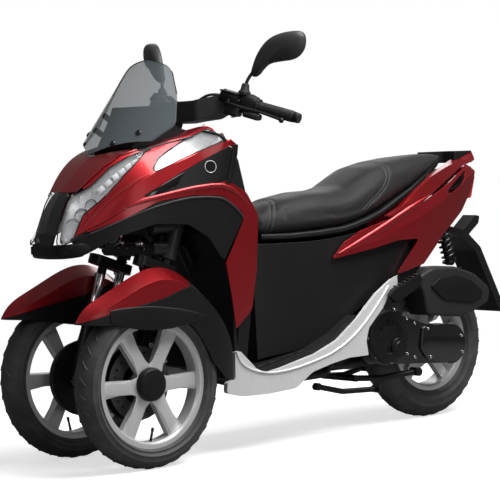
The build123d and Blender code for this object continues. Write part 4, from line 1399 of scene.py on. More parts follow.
@dataclass
class Mirrors:
    """Tapered mirror heads on bent stalks, with their glass and boots."""

    face: Point = (0.244, 0.314, 1.234)
    across: Point = (-0.42, 0.9, 0.1)
    way: Point = (-1.0, -0.45, 0.0)
    outline: tuple[tuple[float, float], ...] = (
        (-0.112, -0.074), (-0.099, -0.044), (-0.078, -0.008), (-0.042, 0.026), (0.000, 0.040),
                                                (0.052, 0.041),
        (0.082, 0.033), (0.086, 0.006), (0.074, -0.026), (0.042, -0.047), (-0.006, -0.045),
                                                (-0.048, -0.046),
        (-0.076, -0.066), (-0.092, -0.082),
    )
    domes: tuple[tuple[float, float], ...] = (
        (0.955, 0.0120), (0.985, 0.0100), (1.0, 0.004), (0.985, -0.004), (0.93, -0.011), (0.82, -0.017),
        (0.64, -0.022), (0.40, -0.0255), (0.16, -0.027),
    )
    stalk: tuple[Point, ...] = (
        (0.300, 0.205, 1.104), (0.297, 0.208, 1.122), (0.292, 0.214, 1.140), (0.284, 0.223, 1.156),
        (0.277, 0.233, 1.170),
    )

    def build(self) -> None:
        """Makes both mirrors."""
        heads, glass, boots = Form(), Form(), Form()
        for side in (1, -1):
            x_axis = mirrored(self.across, side).normalized()
            z_axis = mirrored(self.way, side).normalized()
            y_axis = Vector(UP)
            y_axis = (y_axis - x_axis * y_axis.dot(x_axis)).normalized()
            plane = Matrix.Translation(mirrored(self.face, side)) @ facing(x_axis, y_axis, z_axis)
            middle = (0.024, 0.0)
            heads.loft([Contour(self.outline, plane, middle, size, height) for size,
                        height in self.domes], 56)
            upper = [(u, v) for u, v in self.outline if u > -0.06]
            glass.loft([Contour(upper, plane, middle, 0.90, height) for height in (0.0116, 0.0128)], 56)
            heads.hose([mirrored(point, side) for point in self.stalk], 0.0052)
            boots.lathe([(0.0, -0.004), (0.019, -0.004), (0.019, 0.004), (0.014, 0.010), (0.0115, 0.026),
                         (0.009, 0.030), (0.0, 0.030)], (0.300, 0.205 * side, 1.098),
                        (-0.1, 0.15 * side, 1.0), 32)
        made = heads.piece("mirror_heads", Body.HANDLEBAR, SATIN_GREY, 50.0)
        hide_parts("mirrors")
        glass.piece("mirror_glass", Body.HANDLEBAR, MIRROR_GLASS)
        boots.piece("mirror_boots", Body.HANDLEBAR, SOFT_RUBBER)


# ---------------------------------------------------------------- handlebar


@dataclass
class Handlebar:
    """Grip ribs, switch housings, fluid reservoirs, and brake levers with their brackets."""

    knee: Point = (0.322, 0.130, 1.090)
    end: Point = (0.230, 0.352, 1.020)

    def _along(self, side: int, share: float) -> Vector:
        """A point on one side's bar: nought at the knee, one at the grip's end."""
        return mirrored(self.knee, side).lerp(mirrored(self.end, side), share)

    def build(self) -> None:
        """Makes both sides of the handlebar."""
        for side, word in SIDES:
            self._grip(side, word)
            self._controls(side, word)
            self._bracket(side, word)
            self._lever(side, word)

    def _grip(self, side: int, word: str) -> None:
        """Ribs round the grip and its flange.

        Args:
            side: 1 for the left, -1 for the right.
            word: the side's name.
        """
        way = self._along(side, 1.0) - self._along(side, 0.0)
        form = Form()
        for number in range(22):
            share = 0.535 + 0.43 * number / 21
            form.lathe([(0.0165, -0.0016), (0.0181, -0.0009), (0.0181, 0.0009), (0.0165, 0.0016)],
                       self._along(side, share), way, 32, closed=True)
        form.lathe([(0.012, -0.002), (0.023, -0.002), (0.0245, 0.0), (0.023, 0.002), (0.012, 0.002)],
                   self._along(side, 0.505), way, 36, closed=True)
        form.piece(f"grip_ribs_{word}", Body.HANDLEBAR, SOFT_RUBBER, 50.0)
        weight = Form()
        tip = self._along(side, 1.0)
        out = way.normalized()
        weight.lathe([(0.0, 0.0), (0.0158, 0.0), (0.0164, 0.002), (0.0158, 0.013), (0.012, 0.0164),
                      (0.0, 0.0168)], tip, out, 32)
        weight.piece(f"bar_weight_{word}", Body.HANDLEBAR, BLACK_METAL)

    def _controls(self, side: int, word: str) -> None:
        """Switch housing round the bar and the fluid reservoir ahead of it.

        Args:
            side: 1 for the left, -1 for the right.
            word: the side's name.
        """
        way = (self._along(side, 1.0) - self._along(side, 0.0)).normalized()
        across = Vector(UP).cross(way).normalized()
        up = way.cross(across).normalized()
        box = Form()
        shares = ((0.17, 0.017, 0.018), (0.18, 0.022, 0.024), (0.26, 0.0255, 0.0300),
                  (0.38, 0.0260, 0.0315), (0.46, 0.0235, 0.0270), (0.485, 0.019, 0.021))
        rings = [Ring(self._along(side, share), (wide, tall), across, up, 3.2) for share, wide,
                 tall in shares]
        box.loft(rings, 32)
        for share in (0.27, 0.42):
            box.bolt(self._along(side, share) + up * -0.0305, -up, 0.003)
        made = box.piece(f"switch_box_{word}", Body.HANDLEBAR, CHARCOAL, 38.0)
        if side > 0:
            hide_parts("bar_controls")
        buttons = Form()
        back = across * (1.0 if across.x < 0 else -1.0)
        for number, share in enumerate((0.27, 0.34, 0.41)):
            spot = self._along(side, share) + back * 0.0260 + up * (0.006 if number % 2 else -0.006)
            buttons.block(spot, (0.012, 0.009, 0.010), aim(back))
        buttons.soften(0.0015)
        buttons.piece(f"switch_buttons_{word}", Body.HANDLEBAR, GLOSS_BLACK)
        front = -back
        cup, lid = Form(), Form()
        centre = self._along(side, 0.17) + front * 0.030 + Vector((0.0, 0.0, 0.008))
        turn = facing(front, way, front.cross(way))
        cup.block(centre, (0.042, 0.060, 0.032), turn)
        cup.soften(0.006, segments=3)
        cup.rod(centre - way * 0.022, self._along(side, 0.30) + front * 0.030, 0.010)
        cup.collar((0.013, 0.024), 0.010, self._along(side, 0.17), way, 32)
        cup.rod(centre - front * 0.014, self._along(side, 0.17) + front * 0.016, 0.008)
        cup.piece(f"brake_reservoir_{word}", Body.HANDLEBAR, BLACK_METAL)
        top = turn.to_3x3() @ Vector(UP)
        top = top if top.z > 0 else -top
        lid.block(centre + top * 0.0175, (0.044, 0.062, 0.005), turn)
        lid.soften(0.0018)
        for share in (-0.023, 0.023):
            lid.lathe([(0.0, 0.0), (0.004, 0.0), (0.004, 0.0018), (0.0026, 0.0024), (0.0, 0.0016)],
                      centre + top * 0.020 + way * share, top, 16)
        lid.piece(f"reservoir_lid_{word}", Body.HANDLEBAR, SATIN_BLACK)
        hose = Form()
        hose.hose([centre + way * -0.026, centre + way * -0.06 + Vector((0.01, 0.0, 0.0)),
                   Vector((0.385, 0.085 * side, 1.082)), Vector((0.392, 0.055 * side, 1.060)),
                   Vector((0.388, 0.040 * side, 1.030))], 0.0042)
        hose.piece(f"brake_pipe_{word}", Body.HANDLEBAR, SOFT_RUBBER, 60.0)

    def _bracket(self, side: int, word: str) -> None:
        """The lever's bracket under the bar, with its bolt, and the switch box's belly.

        Args:
            side: 1 for the left, -1 for the right.
            word: the side's name.
        """
        way = (self._along(side, 1.0) - self._along(side, 0.0)).normalized()
        turn = aim(way)
        form, bolt = Form(), Form()
        near = self._along(side, 0.19) + Vector((0.016, 0.0, -0.027))
        form.block(near, (0.040, 0.036, 0.052), turn)
        form.block(self._along(side, 0.44) + Vector((0.010, 0.0, -0.030)), (0.030, 0.020, 0.058), turn)
        form.soften(0.007, segments=3)
        form.piece(f"lever_bracket_{word}", Body.HANDLEBAR, CAST_GREY, 40.0)
        bolt.bolt(near + Vector((0.0, 0.0, -0.020)), (0.0, 0.0, -1.0), 0.006)
        bolt.piece(f"bracket_bolt_{word}", Body.HANDLEBAR, STEEL)

    def _lever(self, side: int, word: str) -> None:
        """A curved brake lever with a ball end.

        Args:
            side: 1 for the left, -1 for the right.
            word: the side's name.
        """
        spine = ((0.356, 0.186, 1.071, 0.009, 0.007), (0.358, 0.210, 1.065, 0.009, 0.006),
                 (0.345, 0.238, 1.056, 0.0075, 0.0045), (0.322, 0.275, 1.044, 0.0075, 0.004),
                 (0.306, 0.315, 1.030, 0.007, 0.004), (0.298, 0.350, 1.018, 0.0065, 0.004),
                 (0.296, 0.366, 1.012, 0.005, 0.004))
        form, rings = Form(), []
        line = [mirrored(row, side) for row in spine]
        for number, (spot, (wide, tall)) in enumerate(zip(line, (row[3:] for row in spine))):
            run = run_at(line, number)
            across = Vector(UP).cross(run).normalized()
            rings.append(Ring(spot, (wide, tall), across, run.cross(across), 2.4))
        form.loft(rings, 20)
        form.ball((0.296, 0.368 * side, 1.011), (0.008, 0.008, 0.008))
        form.bolt((0.354, 0.192 * side, 1.0785), UP, 0.0048)
        form.piece(f"brake_lever_{word}", Body.HANDLEBAR, BLACK_METAL, 50.0)


# ---------------------------------------------------------------- front suspension


@dataclass
class FrontLeg:
    """Bright tubes, dust seals, bolts, brake pipe and the caliper's details on one fork."""

    side: int
    lines: tuple[float, float] = (0.837, 0.763)
    fork_y: float = 0.114
    lean: float = math.tan(math.radians(20.0))

    def _on_line(self, line: float, z: float) -> Vector:
        """A point on a fork tube's middle line at a height."""
        return Vector((line - self.lean * z, self.fork_y * self.side, z))

    def build(self) -> None:
        """Makes the trim of one fork."""
        word = "left" if self.side > 0 else "right"
        body = Body.LEFT_FORK if self.side > 0 else Body.RIGHT_FORK
        up = Vector((-self.lean, 0.0, 1.0)).normalized()
        out = mirrored(LEFT, self.side)
        tubes, seals, bolts = Form(), Form(), Form()
        for line in self.lines:
            tubes.rod(self._on_line(line, 0.462), self._on_line(line, 0.562), 0.0146, sides=40)
            seals.lathe([(0.0150, -0.006), (0.0215, -0.006), (0.0225, -0.002), (0.0215, 0.004),
                         (0.018, 0.008), (0.0150, 0.009)], self._on_line(line, 0.470), up, 36,
                        closed=True)
            for step in range(3):
                seals.lathe([(0.0195, -0.002), (0.0212, 0.0), (0.0195, 0.002)],
                            self._on_line(line, 0.440 - 0.018 * step), up, 32, closed=True)
            bolts.bolt(self._on_line(line, 0.566) + out * 0.0275 - Vector((0.0, 0.0, 0.006)), out, 0.0055)
            bolts.lathe([(0.0, 0.0), (0.0130, 0.0), (0.0130, 0.004), (0.010, 0.0065), (0.006, 0.0065),
                         (0.0055, 0.003), (0.0, 0.003)], self._on_line(line, 0.5925), up, 6)
            bolts.bolt(self._on_line(line, 0.238), -up, 0.007)
        tubes.piece(f"fork_tubes_{word}", body, CHROME)
        seals.piece(f"dust_seals_{word}", body, SOFT_RUBBER)
        bolts.piece(f"fork_bolts_{word}", body, STEEL)
        self._caliper(word, body, out)
        self._pipe(word, body)

    def _caliper(self, word: str, body: Body, out: Vector) -> None:
        """Two pistons' bosses, slider pins and the bleed nipple.

        Args:
            word: the side's name.
            body: the fork's body.
            out: the way out from the middle of the vehicle.
        """
        form = Form()
        face = 0.149 * self.side
        for x, z in ((0.612, 0.340), (0.636, 0.318)):
            form.lathe([(0.0, 0.0), (0.016, 0.0), (0.0165, 0.003), (0.014, 0.006), (0.008, 0.0065),
                        (0.007, 0.004), (0.0, 0.004)], (x, face, z), out, 32)
        for x, z in ((0.600, 0.306), (0.648, 0.358)):
            form.bolt((x, face, z), out, 0.0055)
        form.rod((0.604, face * 0.97, 0.352), (0.596, face * 0.98, 0.372), 0.003, 0.0024, 12)
        form.piece(f"caliper_trim_{word}", body, STEEL)

    def _pipe(self, word: str, body: Body) -> None:
        """The brake pipe clipped up the fork.

        Args:
            word: the side's name.
            body: the fork's body.
        """
        line = ((0.622, 0.146, 0.366), (0.612, 0.150, 0.392), (0.590, 0.146, 0.420),
                (0.572, 0.136, 0.470), (0.556, 0.130, 0.520), (0.552, 0.124, 0.566))
        form = Form().hose([mirrored(point, self.side) for point in line], 0.004)
        form.piece(f"caliper_pipe_{word}", body, SOFT_RUBBER, 60.0)


@dataclass
class NoseWorks:
    """What shows under the cowl: tie rods, a horn, the lean lock and the pipes."""

    horn: Point = (0.700, 0.040, 0.690)

    def build(self) -> None:
        """Makes all of it."""
        rods, joints, rubber = Form(), Form(), Form()
        for side in (1, -1):
            inner, outer = Vector((0.640, 0.020 * side, 0.664)), Vector((0.640, 0.104 * side, 0.660))
            rods.rod(inner, outer, 0.0065, sides=20)
            for spot in (inner, outer):
                joints.ball(spot, (0.0115, 0.0115, 0.0115))
                joints.rod(spot, spot + Vector((-0.012, 0.0, -0.018)), 0.006, sides=16)
                rubber.lathe([(0.0, -0.007), (0.011, -0.007), (0.0135, 0.0), (0.011, 0.007),
                              (0.0, 0.007)],
                             spot + Vector((-0.006, 0.0, -0.008)), (-0.55, 0.0, -0.83), 24)
            joints.bolt(outer + Vector((0.012, 0.0, 0.0)), FORWARD, 0.0055)
            rubber.hose([(0.612, 0.030 * side, 0.760), (0.640, 0.060 * side, 0.720),
                         (0.628, 0.100 * side, 0.684), (0.596, 0.122 * side, 0.650),
                         (0.572, 0.126 * side, 0.618)], 0.0042)
            rubber.hose([(0.590, 0.050 * side, 0.770), (0.620, 0.092 * side, 0.742),
                         (0.640, 0.120 * side, 0.700), (0.626, 0.134 * side, 0.668)], 0.0036)
        rods.rod((0.655, -0.050, 0.735), (0.655, 0.020, 0.715), 0.017, sides=32)
        rods.rod((0.655, 0.020, 0.715), (0.655, 0.080, 0.698), 0.0075, sides=24)
        joints.rod((0.655, 0.020, 0.715), (0.655, 0.062, 0.703), 0.0050, sides=20)
        for share in (0.0, 1.0):
            joints.bolt((0.668, -0.050 + 0.128 * share, 0.735 - 0.038 * share), FORWARD, 0.0060)
        rods.block((0.622, 0.0, 0.748), (0.050, 0.150, 0.018))
        rods.block((0.600, 0.0, 0.775), (0.020, 0.110, 0.050))
        rods.piece("tie_rods", Body.CHASSIS, BLACK_METAL)
        joints.piece("rod_joints", Body.CHASSIS, STEEL)
        rubber.piece("nose_pipes", Body.CHASSIS, SOFT_RUBBER, 60.0)
        shell, ring = Form(), Form()
        shell.lathe([(0.0, 0.0100), (0.010, 0.0105), (0.014, 0.0080), (0.026, 0.0075), (0.033, 0.0045),
                     (0.036, -0.003), (0.034, -0.012), (0.018, -0.018), (0.0, -0.019)], self.horn,
                    (0.86, 0.42, -0.28), 56)
        shell.piece("horn", Body.CHASSIS, GLOSS_BLACK, 50.0)
        ring.lathe([(0.0335, -0.002), (0.0368, -0.002), (0.0368, 0.0015), (0.0335, 0.0052)], self.horn,
                   (0.86, 0.42, -0.28), 56, closed=True)
        ring.piece("horn_ring", Body.CHASSIS, STEEL)


# ---------------------------------------------------------------- drive, rear suspension and exhaust


@dataclass
class DriveSide:
    """The left side of the engine: case covers, bolts, fins and the air cleaner's lid."""

    pulley: tuple[float, float] = (-0.318, 0.300)
    axle: tuple[float, float] = (-0.6075, 0.251)
    face: float = 0.142

    def build(self) -> None:
        """Makes all of it."""
        self._case()
        self._fins()
        self._air_cleaner()
        self._lower_engine()

    def _case(self) -> None:
        """A raised round cover with an inner dish, and a glossy cover behind it."""
        out = LEFT
        cover = Form()
        centre = (self.pulley[0], self.face - 0.001, self.pulley[1])
        cover.lathe([(0.0, 0.010), (0.030, 0.010), (0.036, 0.006), (0.052, 0.006), (0.058, 0.012),
                     (0.078, 0.012), (0.084, 0.009), (0.089, 0.0), (0.0, 0.0)], centre, out, 72)
        for turn in range(8):
            angle = math.tau * turn / 8
            spot = Vector(centre) + Vector((0.044 * math.cos(angle), 0.006, 0.044 * math.sin(angle)))
            cover.block(spot, (0.020, 0.006, 0.004), Matrix.Rotation(-angle, 4, "Y"))
        cover.piece("pulley_cover", Body.CHASSIS, SATIN_BLACK)
        end = Form()
        end.plate([(-0.470, 0.318), (-0.500, 0.326), (-0.606, 0.311), (-0.662, 0.283), (-0.668, 0.234),
                   (-0.628, 0.196), (-0.560, 0.194), (-0.486, 0.212), (-0.458, 0.250)], 0.010,
                  upright(self.face - 0.001), 0.012)
        end.soften(0.0035, segments=3)
        end.piece("case_cover", Body.CHASSIS, GLOSS_BLACK)
        bolts = Form()
        rim = ((-0.255, 0.362), (-0.232, 0.300), (-0.262, 0.238), (-0.330, 0.214), (-0.402, 0.236),
               (-0.404, 0.352), (-0.440, 0.334), (-0.436, 0.222), (-0.352, 0.384))
        for x, z in rim:
            bolts.bolt((x, self.face, z), out, 0.0052)
        for x, z in ((-0.492, 0.312), (-0.646, 0.276), (-0.648, 0.222), (-0.500, 0.218)):
            bolts.bolt((x, self.face + 0.009, z), out, 0.0052)
        bolts.piece("case_bolts", Body.CHASSIS, STEEL)
        boss = Form()
        boss.lathe([(0.0, 0.004), (0.018, 0.004), (0.022, 0.001), (0.031, 0.001), (0.034, -0.004),
                    (0.0, -0.004)],
                   (-0.360, self.face + 0.013, 0.262), out, 48)
        boss.piece("case_boss", Body.CHASSIS, BLACK_METAL)

    def _fins(self) -> None:
        """Cooling fins on the cylinder ahead of the case."""
        form = Form()
        for number in range(9):
            x = -0.128 - 0.011 * number
            form.block((x, 0.0, 0.300 + 0.004 * number), (0.004, 0.150, 0.110))
        form.soften(0.0012)
        form.piece("cylinder_fins", Body.CHASSIS, BLACK_METAL)

    def _air_cleaner(self) -> None:
        """The stepped lid, its screws and the intake snorkel."""
        lid = Form()
        face = 0.160
        lid.plate([(-0.500, 0.452), (-0.540, 0.476), (-0.620, 0.480), (-0.690, 0.458), (-0.740, 0.420),
                   (-0.735, 0.400), (-0.690, 0.384), (-0.560, 0.402)], 0.007,
                  upright(face - 0.001), 0.008)
        lid.soften(0.0025, segments=2)
        lid.piece("air_cleaner_lid", Body.CHASSIS, SATIN_BLACK)
        screws = Form()
        for x, z in ((-0.470, 0.440), (-0.548, 0.500), (-0.650, 0.500), (-0.742, 0.452), (-0.764, 0.400),
                     (-0.690, 0.362), (-0.590, 0.356), (-0.500, 0.372)):
            screws.bolt((x, face - 0.006, z), LEFT, 0.0042)
        screws.piece("air_cleaner_screws", Body.CHASSIS, BLACK_METAL)
        neck = Form()
        neck.hose([(-0.470, 0.100, 0.455), (-0.420, 0.085, 0.470), (-0.360, 0.050, 0.455),
                   (-0.300, 0.030, 0.420), (-0.270, 0.020, 0.380)], 0.024)
        for step in range(5):
            neck.lathe([(0.022, -0.003), (0.027, 0.0), (0.022, 0.003)],
                       (-0.440 + 0.011 * step, 0.092, 0.466), (0.95, -0.3, 0.06), 32, closed=True)
        neck.piece("intake_neck", Body.CHASSIS, SOFT_RUBBER, 60.0)

    def _lower_engine(self) -> None:
        """Sump, covers and brackets seen under the floor."""
        form = Form()
        form.block((-0.225, 0.0, 0.214), (0.190, 0.120, 0.030))
        form.block((-0.170, 0.066, 0.262), (0.070, 0.022, 0.070))
        form.block((-0.262, 0.062, 0.350), (0.120, 0.014, 0.050), Matrix.Rotation(-0.3, 4, "Y"))
        form.soften(0.006, segments=3)
        form.rod((-0.150, 0.050, 0.240), (-0.150, 0.092, 0.240), 0.024, sides=32)
        form.rod((-0.196, 0.050, 0.322), (-0.196, 0.100, 0.322), 0.020, sides=32)
        form.rod((-0.140, 0.040, 0.310), (-0.140, 0.088, 0.310), 0.013, sides=24)
        for x, z in ((-0.150, 0.240), (-0.196, 0.322)):
            form.lathe([(0.0, 0.0), (0.010, 0.0), (0.010, 0.006), (0.0, 0.006)], (x, 0.091, z), LEFT, 6)
        form.piece("engine_details", Body.CHASSIS, BLACK_METAL)
        pipes = Form()
        pipes.hose([(-0.160, 0.070, 0.300), (-0.120, 0.090, 0.330), (-0.080, 0.090, 0.320),
                    (-0.040, 0.080, 0.300)],
                   0.009)
        pipes.hose([(-0.240, 0.064, 0.386), (-0.180, 0.084, 0.400), (-0.110, 0.096, 0.372),
                    (-0.060, 0.100, 0.340)],
                   0.006)
        pipes.hose([(-0.262, 0.072, 0.226), (-0.200, 0.104, 0.206), (-0.130, 0.110, 0.214),
                    (-0.060, 0.104, 0.236)],
                   0.005)
        pipes.piece("engine_pipes", Body.CHASSIS, SOFT_RUBBER, 60.0)


@dataclass
class RearShocks:
    """Coil springs over dampers, in place of the plain struts."""

    top: Point = (-0.618, 0.100, 0.640)
    foot: Point = (-0.652, 0.100, 0.522)
    coils: int = 6
    coil_r: float = 0.0205
    wire_r: float = 0.0038

    def build(self) -> None:
        """Makes both springs and dampers."""
        springs, dampers = Form(), Form()
        for side in (1, -1):
            top, foot = mirrored(self.top, side), mirrored(self.foot, side)
            self._spring(springs, foot.lerp(top, 0.06), foot.lerp(top, 0.94))
            dampers.rod(foot, foot.lerp(top, 0.62), 0.014, sides=32)
            dampers.rod(foot.lerp(top, 0.55), top, 0.006, sides=24)
            way = top - foot
            for share in (0.02, 0.97):
                dampers.collar((0.004, 0.0245), 0.003, foot.lerp(top, share), way, 36)
            for end in (foot, top):
                dampers.rod(end - Vector((0.0, 0.012, 0.0)), end + Vector((0.0, 0.012, 0.0)), 0.0125,
                            sides=28)
        springs.piece("shock_springs", Body.CHASSIS, GLOSS_BLACK, 60.0)
        made = dampers.piece("shock_dampers", Body.CHASSIS, BLACK_METAL)
        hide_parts("rear_shocks")

    def _spring(self, form: Form, start: Vector, end: Vector) -> None:
        """Winds one spring from a round section.

        Args:
            form: the form to add it to.
            start: the spring's lower end.
            end: its upper end.
        """
        way = end - start
        circle = bmesh.ops.create_circle(form.mesh, segments=10, radius=self.wire_r,
                                         cap_ends=True)["verts"]
        old = set(form.mesh.verts) - set(circle)
        bmesh.ops.rotate(form.mesh, verts=circle, cent=(0, 0, 0),
                         matrix=Matrix.Rotation(math.pi / 2, 3, "X"))
        bmesh.ops.translate(form.mesh, verts=circle, vec=(self.coil_r, 0.0, 0.0))
        parts = {g for v in circle for g in [v, *v.link_edges, *v.link_faces]}
        steps = self.coils * 24
        bmesh.ops.spin(form.mesh, geom=list(parts), cent=(0, 0, 0), axis=(0, 0, 1), steps=steps,
                       dvec=(0.0, 0.0, way.length / steps), angle=math.tau * self.coils)
        fresh = [v for v in form.mesh.verts if v not in old]
        bmesh.ops.transform(form.mesh, matrix=Matrix.Translation(start) @ aim(way), verts=fresh)


@dataclass
class Exhaust:
    """The silencer's shield, end cap, bands and bolts on the right side."""

    front: Point = (-0.420, -0.152, 0.262)
    rear: Point = (-0.800, -0.158, 0.352)
    radius: float = 0.052

    def build(self) -> None:
        """Makes the trim over the plain silencer."""
        front, rear = Vector(self.front), Vector(self.rear)
        way = rear - front
        shield = Form()
        shield.loft([Ring(front.lerp(rear, share) + Vector((0.0, -0.006, 0.008)), (wide, tall), LEFT,
                          (0.23, 0.0, 0.97), 2.6)
                     for share, wide, tall in ((0.06, 0.030, 0.032), (0.10, 0.046, 0.048),
                                               (0.5, 0.049, 0.050), (0.80, 0.047, 0.048),
                                               (0.86, 0.034, 0.036))], 48)
        shield.piece("silencer_shield", Body.CHASSIS, SATIN_BLACK)
        cap = Form()
        cap.lathe([(self.radius + 0.0006, -0.030), (self.radius + 0.0016, -0.026),
                   (self.radius + 0.0016, -0.004), (self.radius - 0.004, 0.0006), (0.020, 0.0010),
                   (0.018, 0.0), (0.012, -0.012), (0.0, -0.012), (0.0, -0.030)], rear, way, 56)
        for share in (0.03, 0.16):
            cap.collar((self.radius - 0.002, self.radius + 0.0012), 0.006, front.lerp(rear, share), way,
                       56)
        cap.piece("silencer_bands", Body.CHASSIS, STEEL)
        bolts = Form()
        for share in (0.22, 0.5, 0.74):
            spot = front.lerp(rear, share) + Vector((0.0, -0.0545, 0.006))
            bolts.bolt(spot, (0.0, -1.0, 0.0), 0.005)
        bolts.piece("silencer_bolts", Body.CHASSIS, STEEL)


# ---------------------------------------------------------------- bodywork trim


@dataclass
class Trim:
    """Screws, edges, ridges, mats and small plates on the bodywork."""

    nodes: dict[str, bpy.types.Object]
    outside: float = 0.40

    def build(self) -> None:
        """Makes all of it."""
        self._screen_fixings()
        self._screen_edge()
        self._shoulder()
        self._chin()
        self._lines()
        self._ridges()
        self._skirt_ledge()
        self._leg_shield()
        self._tail_core()
        self._silver_lip()
        self._mats()
        self._footrests()

    def _stuck(self, node: str, start: Point, way: Point) -> tuple[Vector, Vector] | None:
        """Where a line from a point meets a CAD node, and the way its surface faces."""
        hit, place, normal, _ = self.nodes[node].ray_cast(Vector(start), Vector(way).normalized())
        return (place, normal) if hit else None

    def _beside(self, node: str, x: float, z: float, side: int) -> tuple[Vector, Vector] | None:
        """Where a CAD node is met from the left (1) or the right (-1)."""
        return self._stuck(node, (x, self.outside * side, z), (0.0, -side, 0.0))

    def _ahead(self, y: float, z: float) -> tuple[Vector, Vector] | None:
        """Where the inner leg shield is met from the rider's place."""
        return self._stuck("inner_leg_shield", (0.0, y, z), FORWARD)

    def _screen_fixings(self) -> None:
        """Cap screws with rubber washers that hold the screen."""
        screws, washers = Form(), Form()
        for y, z in ((0.128, 0.990), (0.070, 0.962), (-0.128, 0.990), (-0.070, 0.962)):
            found = self._stuck("windscreen", (1.2, y, z), (-1.0, 0.0, 0.0))
            if not found:
                continue
            place, normal = found
            washers.lathe([(0.0045, -0.0005), (0.0095, -0.0005), (0.0100, 0.0010), (0.0085, 0.0020),
                           (0.0045, 0.0020)], place, normal, 32, closed=True)
            screws.lathe([(0.0, 0.0), (0.0070, 0.0), (0.0070, 0.0026), (0.0056, 0.0042), (0.0025, 0.0046),
                          (0.0022, 0.0026), (0.0, 0.0026)], place, normal, 28)
        washers.piece("screen_washers", Body.CHASSIS, SOFT_RUBBER)
        screws.piece("screen_screws", Body.CHASSIS, GLOSS_BLACK)

    def _screen_edge(self) -> None:
        """The dark line round the screen's edge, and two stays behind it."""
        form = Form().copied(self.nodes["windscreen"].data)
        faces = []
        for face in form.mesh.faces:
            y = face.calc_center_median().y
            front = Vector((0.78 - 0.97 * abs(y), 3.9 * y, 0.62 - 0.76 * abs(y))).normalized()
            if abs(face.normal.dot(front)) > 0.55:
                faces.append(face)
        bmesh.ops.delete(form.mesh, geom=faces, context="FACES")
        bmesh.ops.recalc_face_normals(form.mesh, faces=form.mesh.faces)
        bmesh.ops.solidify(form.mesh, geom=list(form.mesh.faces), thickness=-0.0012)
        form.piece("screen_edge", Body.CHASSIS, GLOSS_BLACK)
        stays = Form()
        for x, y, z in ((0.640, -0.052, 1.046), (0.672, -0.056, 1.004)):
            stays.block((x - 0.010, y, z - 0.008), (0.014, 0.016, 0.030), aim((0.78, -0.12, 0.62)))
        stays.soften(0.002)
        stays.piece("screen_stays", Body.CHASSIS, SATIN_BLACK)

    def _shoulder(self) -> None:
        """The dark vent ahead of each shoulder panel, and the round black disc with a bare ring on it."""
        vents, discs, rings = Form(), Form(), Form()
        edge = ((0.6700, 0.1905, 0.8000), (0.6519, 0.1950, 0.8200), (0.6241, 0.2000, 0.8330),
                (0.5785, 0.2030, 0.8540), (0.5406, 0.2065, 0.8700), (0.5568, 0.2075, 0.8514),
                (0.5722, 0.2080, 0.8327), (0.6238, 0.2020, 0.8128))
        for side in (1, -1):
            way = Vector((0.20, 0.97 * side, 0.12)).normalized()
            vents.slab([mirrored(spot, side) - way * 0.001 for spot in edge], way * 0.0034)
            spot, way = (0.457, 0.2225 * side, 0.881), (0.24, 0.97 * side, 0.08)
            discs.lathe([(0.0, 0.0016), (0.0160, 0.0016), (0.0165, -0.0015), (0.0, -0.0015)], spot, way,
                        48)
            rings.lathe([(0.0168, -0.001), (0.0170, 0.0026), (0.0190, 0.0026), (0.0192, -0.001)], spot,
                        way, 48, closed=True)
        vents.soften(0.001)
        vents.piece("shoulder_vents", Body.CHASSIS, GLOSS_BLACK)
        discs.piece("shoulder_discs", Body.CHASSIS, GLOSS_BLACK)
        rings.piece("shoulder_rings", Body.CHASSIS, BARE_ALLOY)

    def _chin(self) -> None:
        """A rounded lip under the nose."""
        path = ((0.838, 0.122, 0.660), (0.862, 0.108, 0.655), (0.882, 0.096, 0.652),
                (0.900, 0.078, 0.650), (0.907, 0.050, 0.649), (0.908, 0.0, 0.648))
        line = [Vector(p) for p in path] + [mirrored(p, -1) for p in reversed(path[:-1])]
        form, rings = Form(), []
        for number, spot in enumerate(line):
            across = run_at(line, number).cross(Vector(UP)).normalized()
            slim = 0.45 if number in (0, len(line) - 1) else 1.0
            rings.append(Ring(spot - Vector((0.004, 0.0, 0.0)), (0.009 * slim, 0.021 * slim), across,
                              UP, 2.6))
        form.loft(rings, 32)
        form.piece("nose_chin", Body.CHASSIS, SATIN_BLACK, 50.0)

    def _lines(self) -> None:
        """Each cowl's lower seal and rear rim, the gap above the turn lamp, and a bead along the arch's
        edge in a lighter grey than the panel, a painted highlight on a real edge.
        """
        seals, gaps, ledge_highlights, rims = Form(), Form(), Form(), Form()
        seal = ((0.8818, 0.0930, 0.6800), (0.8635, 0.0990, 0.6900), (0.8450, 0.1050, 0.7005),
                (0.8300, 0.1140, 0.7095), (0.8120, 0.1200, 0.7160), (0.7936, 0.1240, 0.7210),
                (0.7750, 0.1290, 0.7255))
        gap = ((0.6560, 0.1330, 0.9375), (0.6365, 0.1395, 0.9411), (0.6134, 0.1449, 0.9464),
               (0.5786, 0.1533, 0.9541), (0.5413, 0.1646, 0.9617), (0.5091, 0.1766, 0.9688),
               (0.4882, 0.1850, 0.9740))
        edge = ((0.8380, 0.6990), (0.8000, 0.7140), (0.7700, 0.7270), (0.7450, 0.7380), (0.6840, 0.7600),
                (0.6260, 0.7760), (0.5650, 0.7875), (0.5100, 0.7930), (0.4650, 0.7935), (0.4240, 0.7880),
                (0.3940, 0.7700), (0.3630, 0.7465), (0.3450, 0.7240))
        rim = ((0.4600, 0.1955, 0.9885), (0.4390, 0.2120, 0.9820), (0.4240, 0.2270, 0.9755),
               (0.4120, 0.2340, 0.9660), (0.4040, 0.2360, 0.9560))
        post = ((0.3710, 0.2385, 0.944), (0.3715, 0.2385, 0.935), (0.3730, 0.2370, 0.918),
                (0.3765, 0.2360, 0.900), (0.3805, 0.2340, 0.880), (0.3860, 0.2330, 0.860),
                (0.3915, 0.2325, 0.840), (0.3960, 0.2320, 0.829))
        for side in (1, -1):
            for form, points, radius in ((rims, rim, 0.0042), (seals, seal, 0.0085), (gaps, gap, 0.0028)):
                form.hose([mirrored(point, side) for point in points], radius)
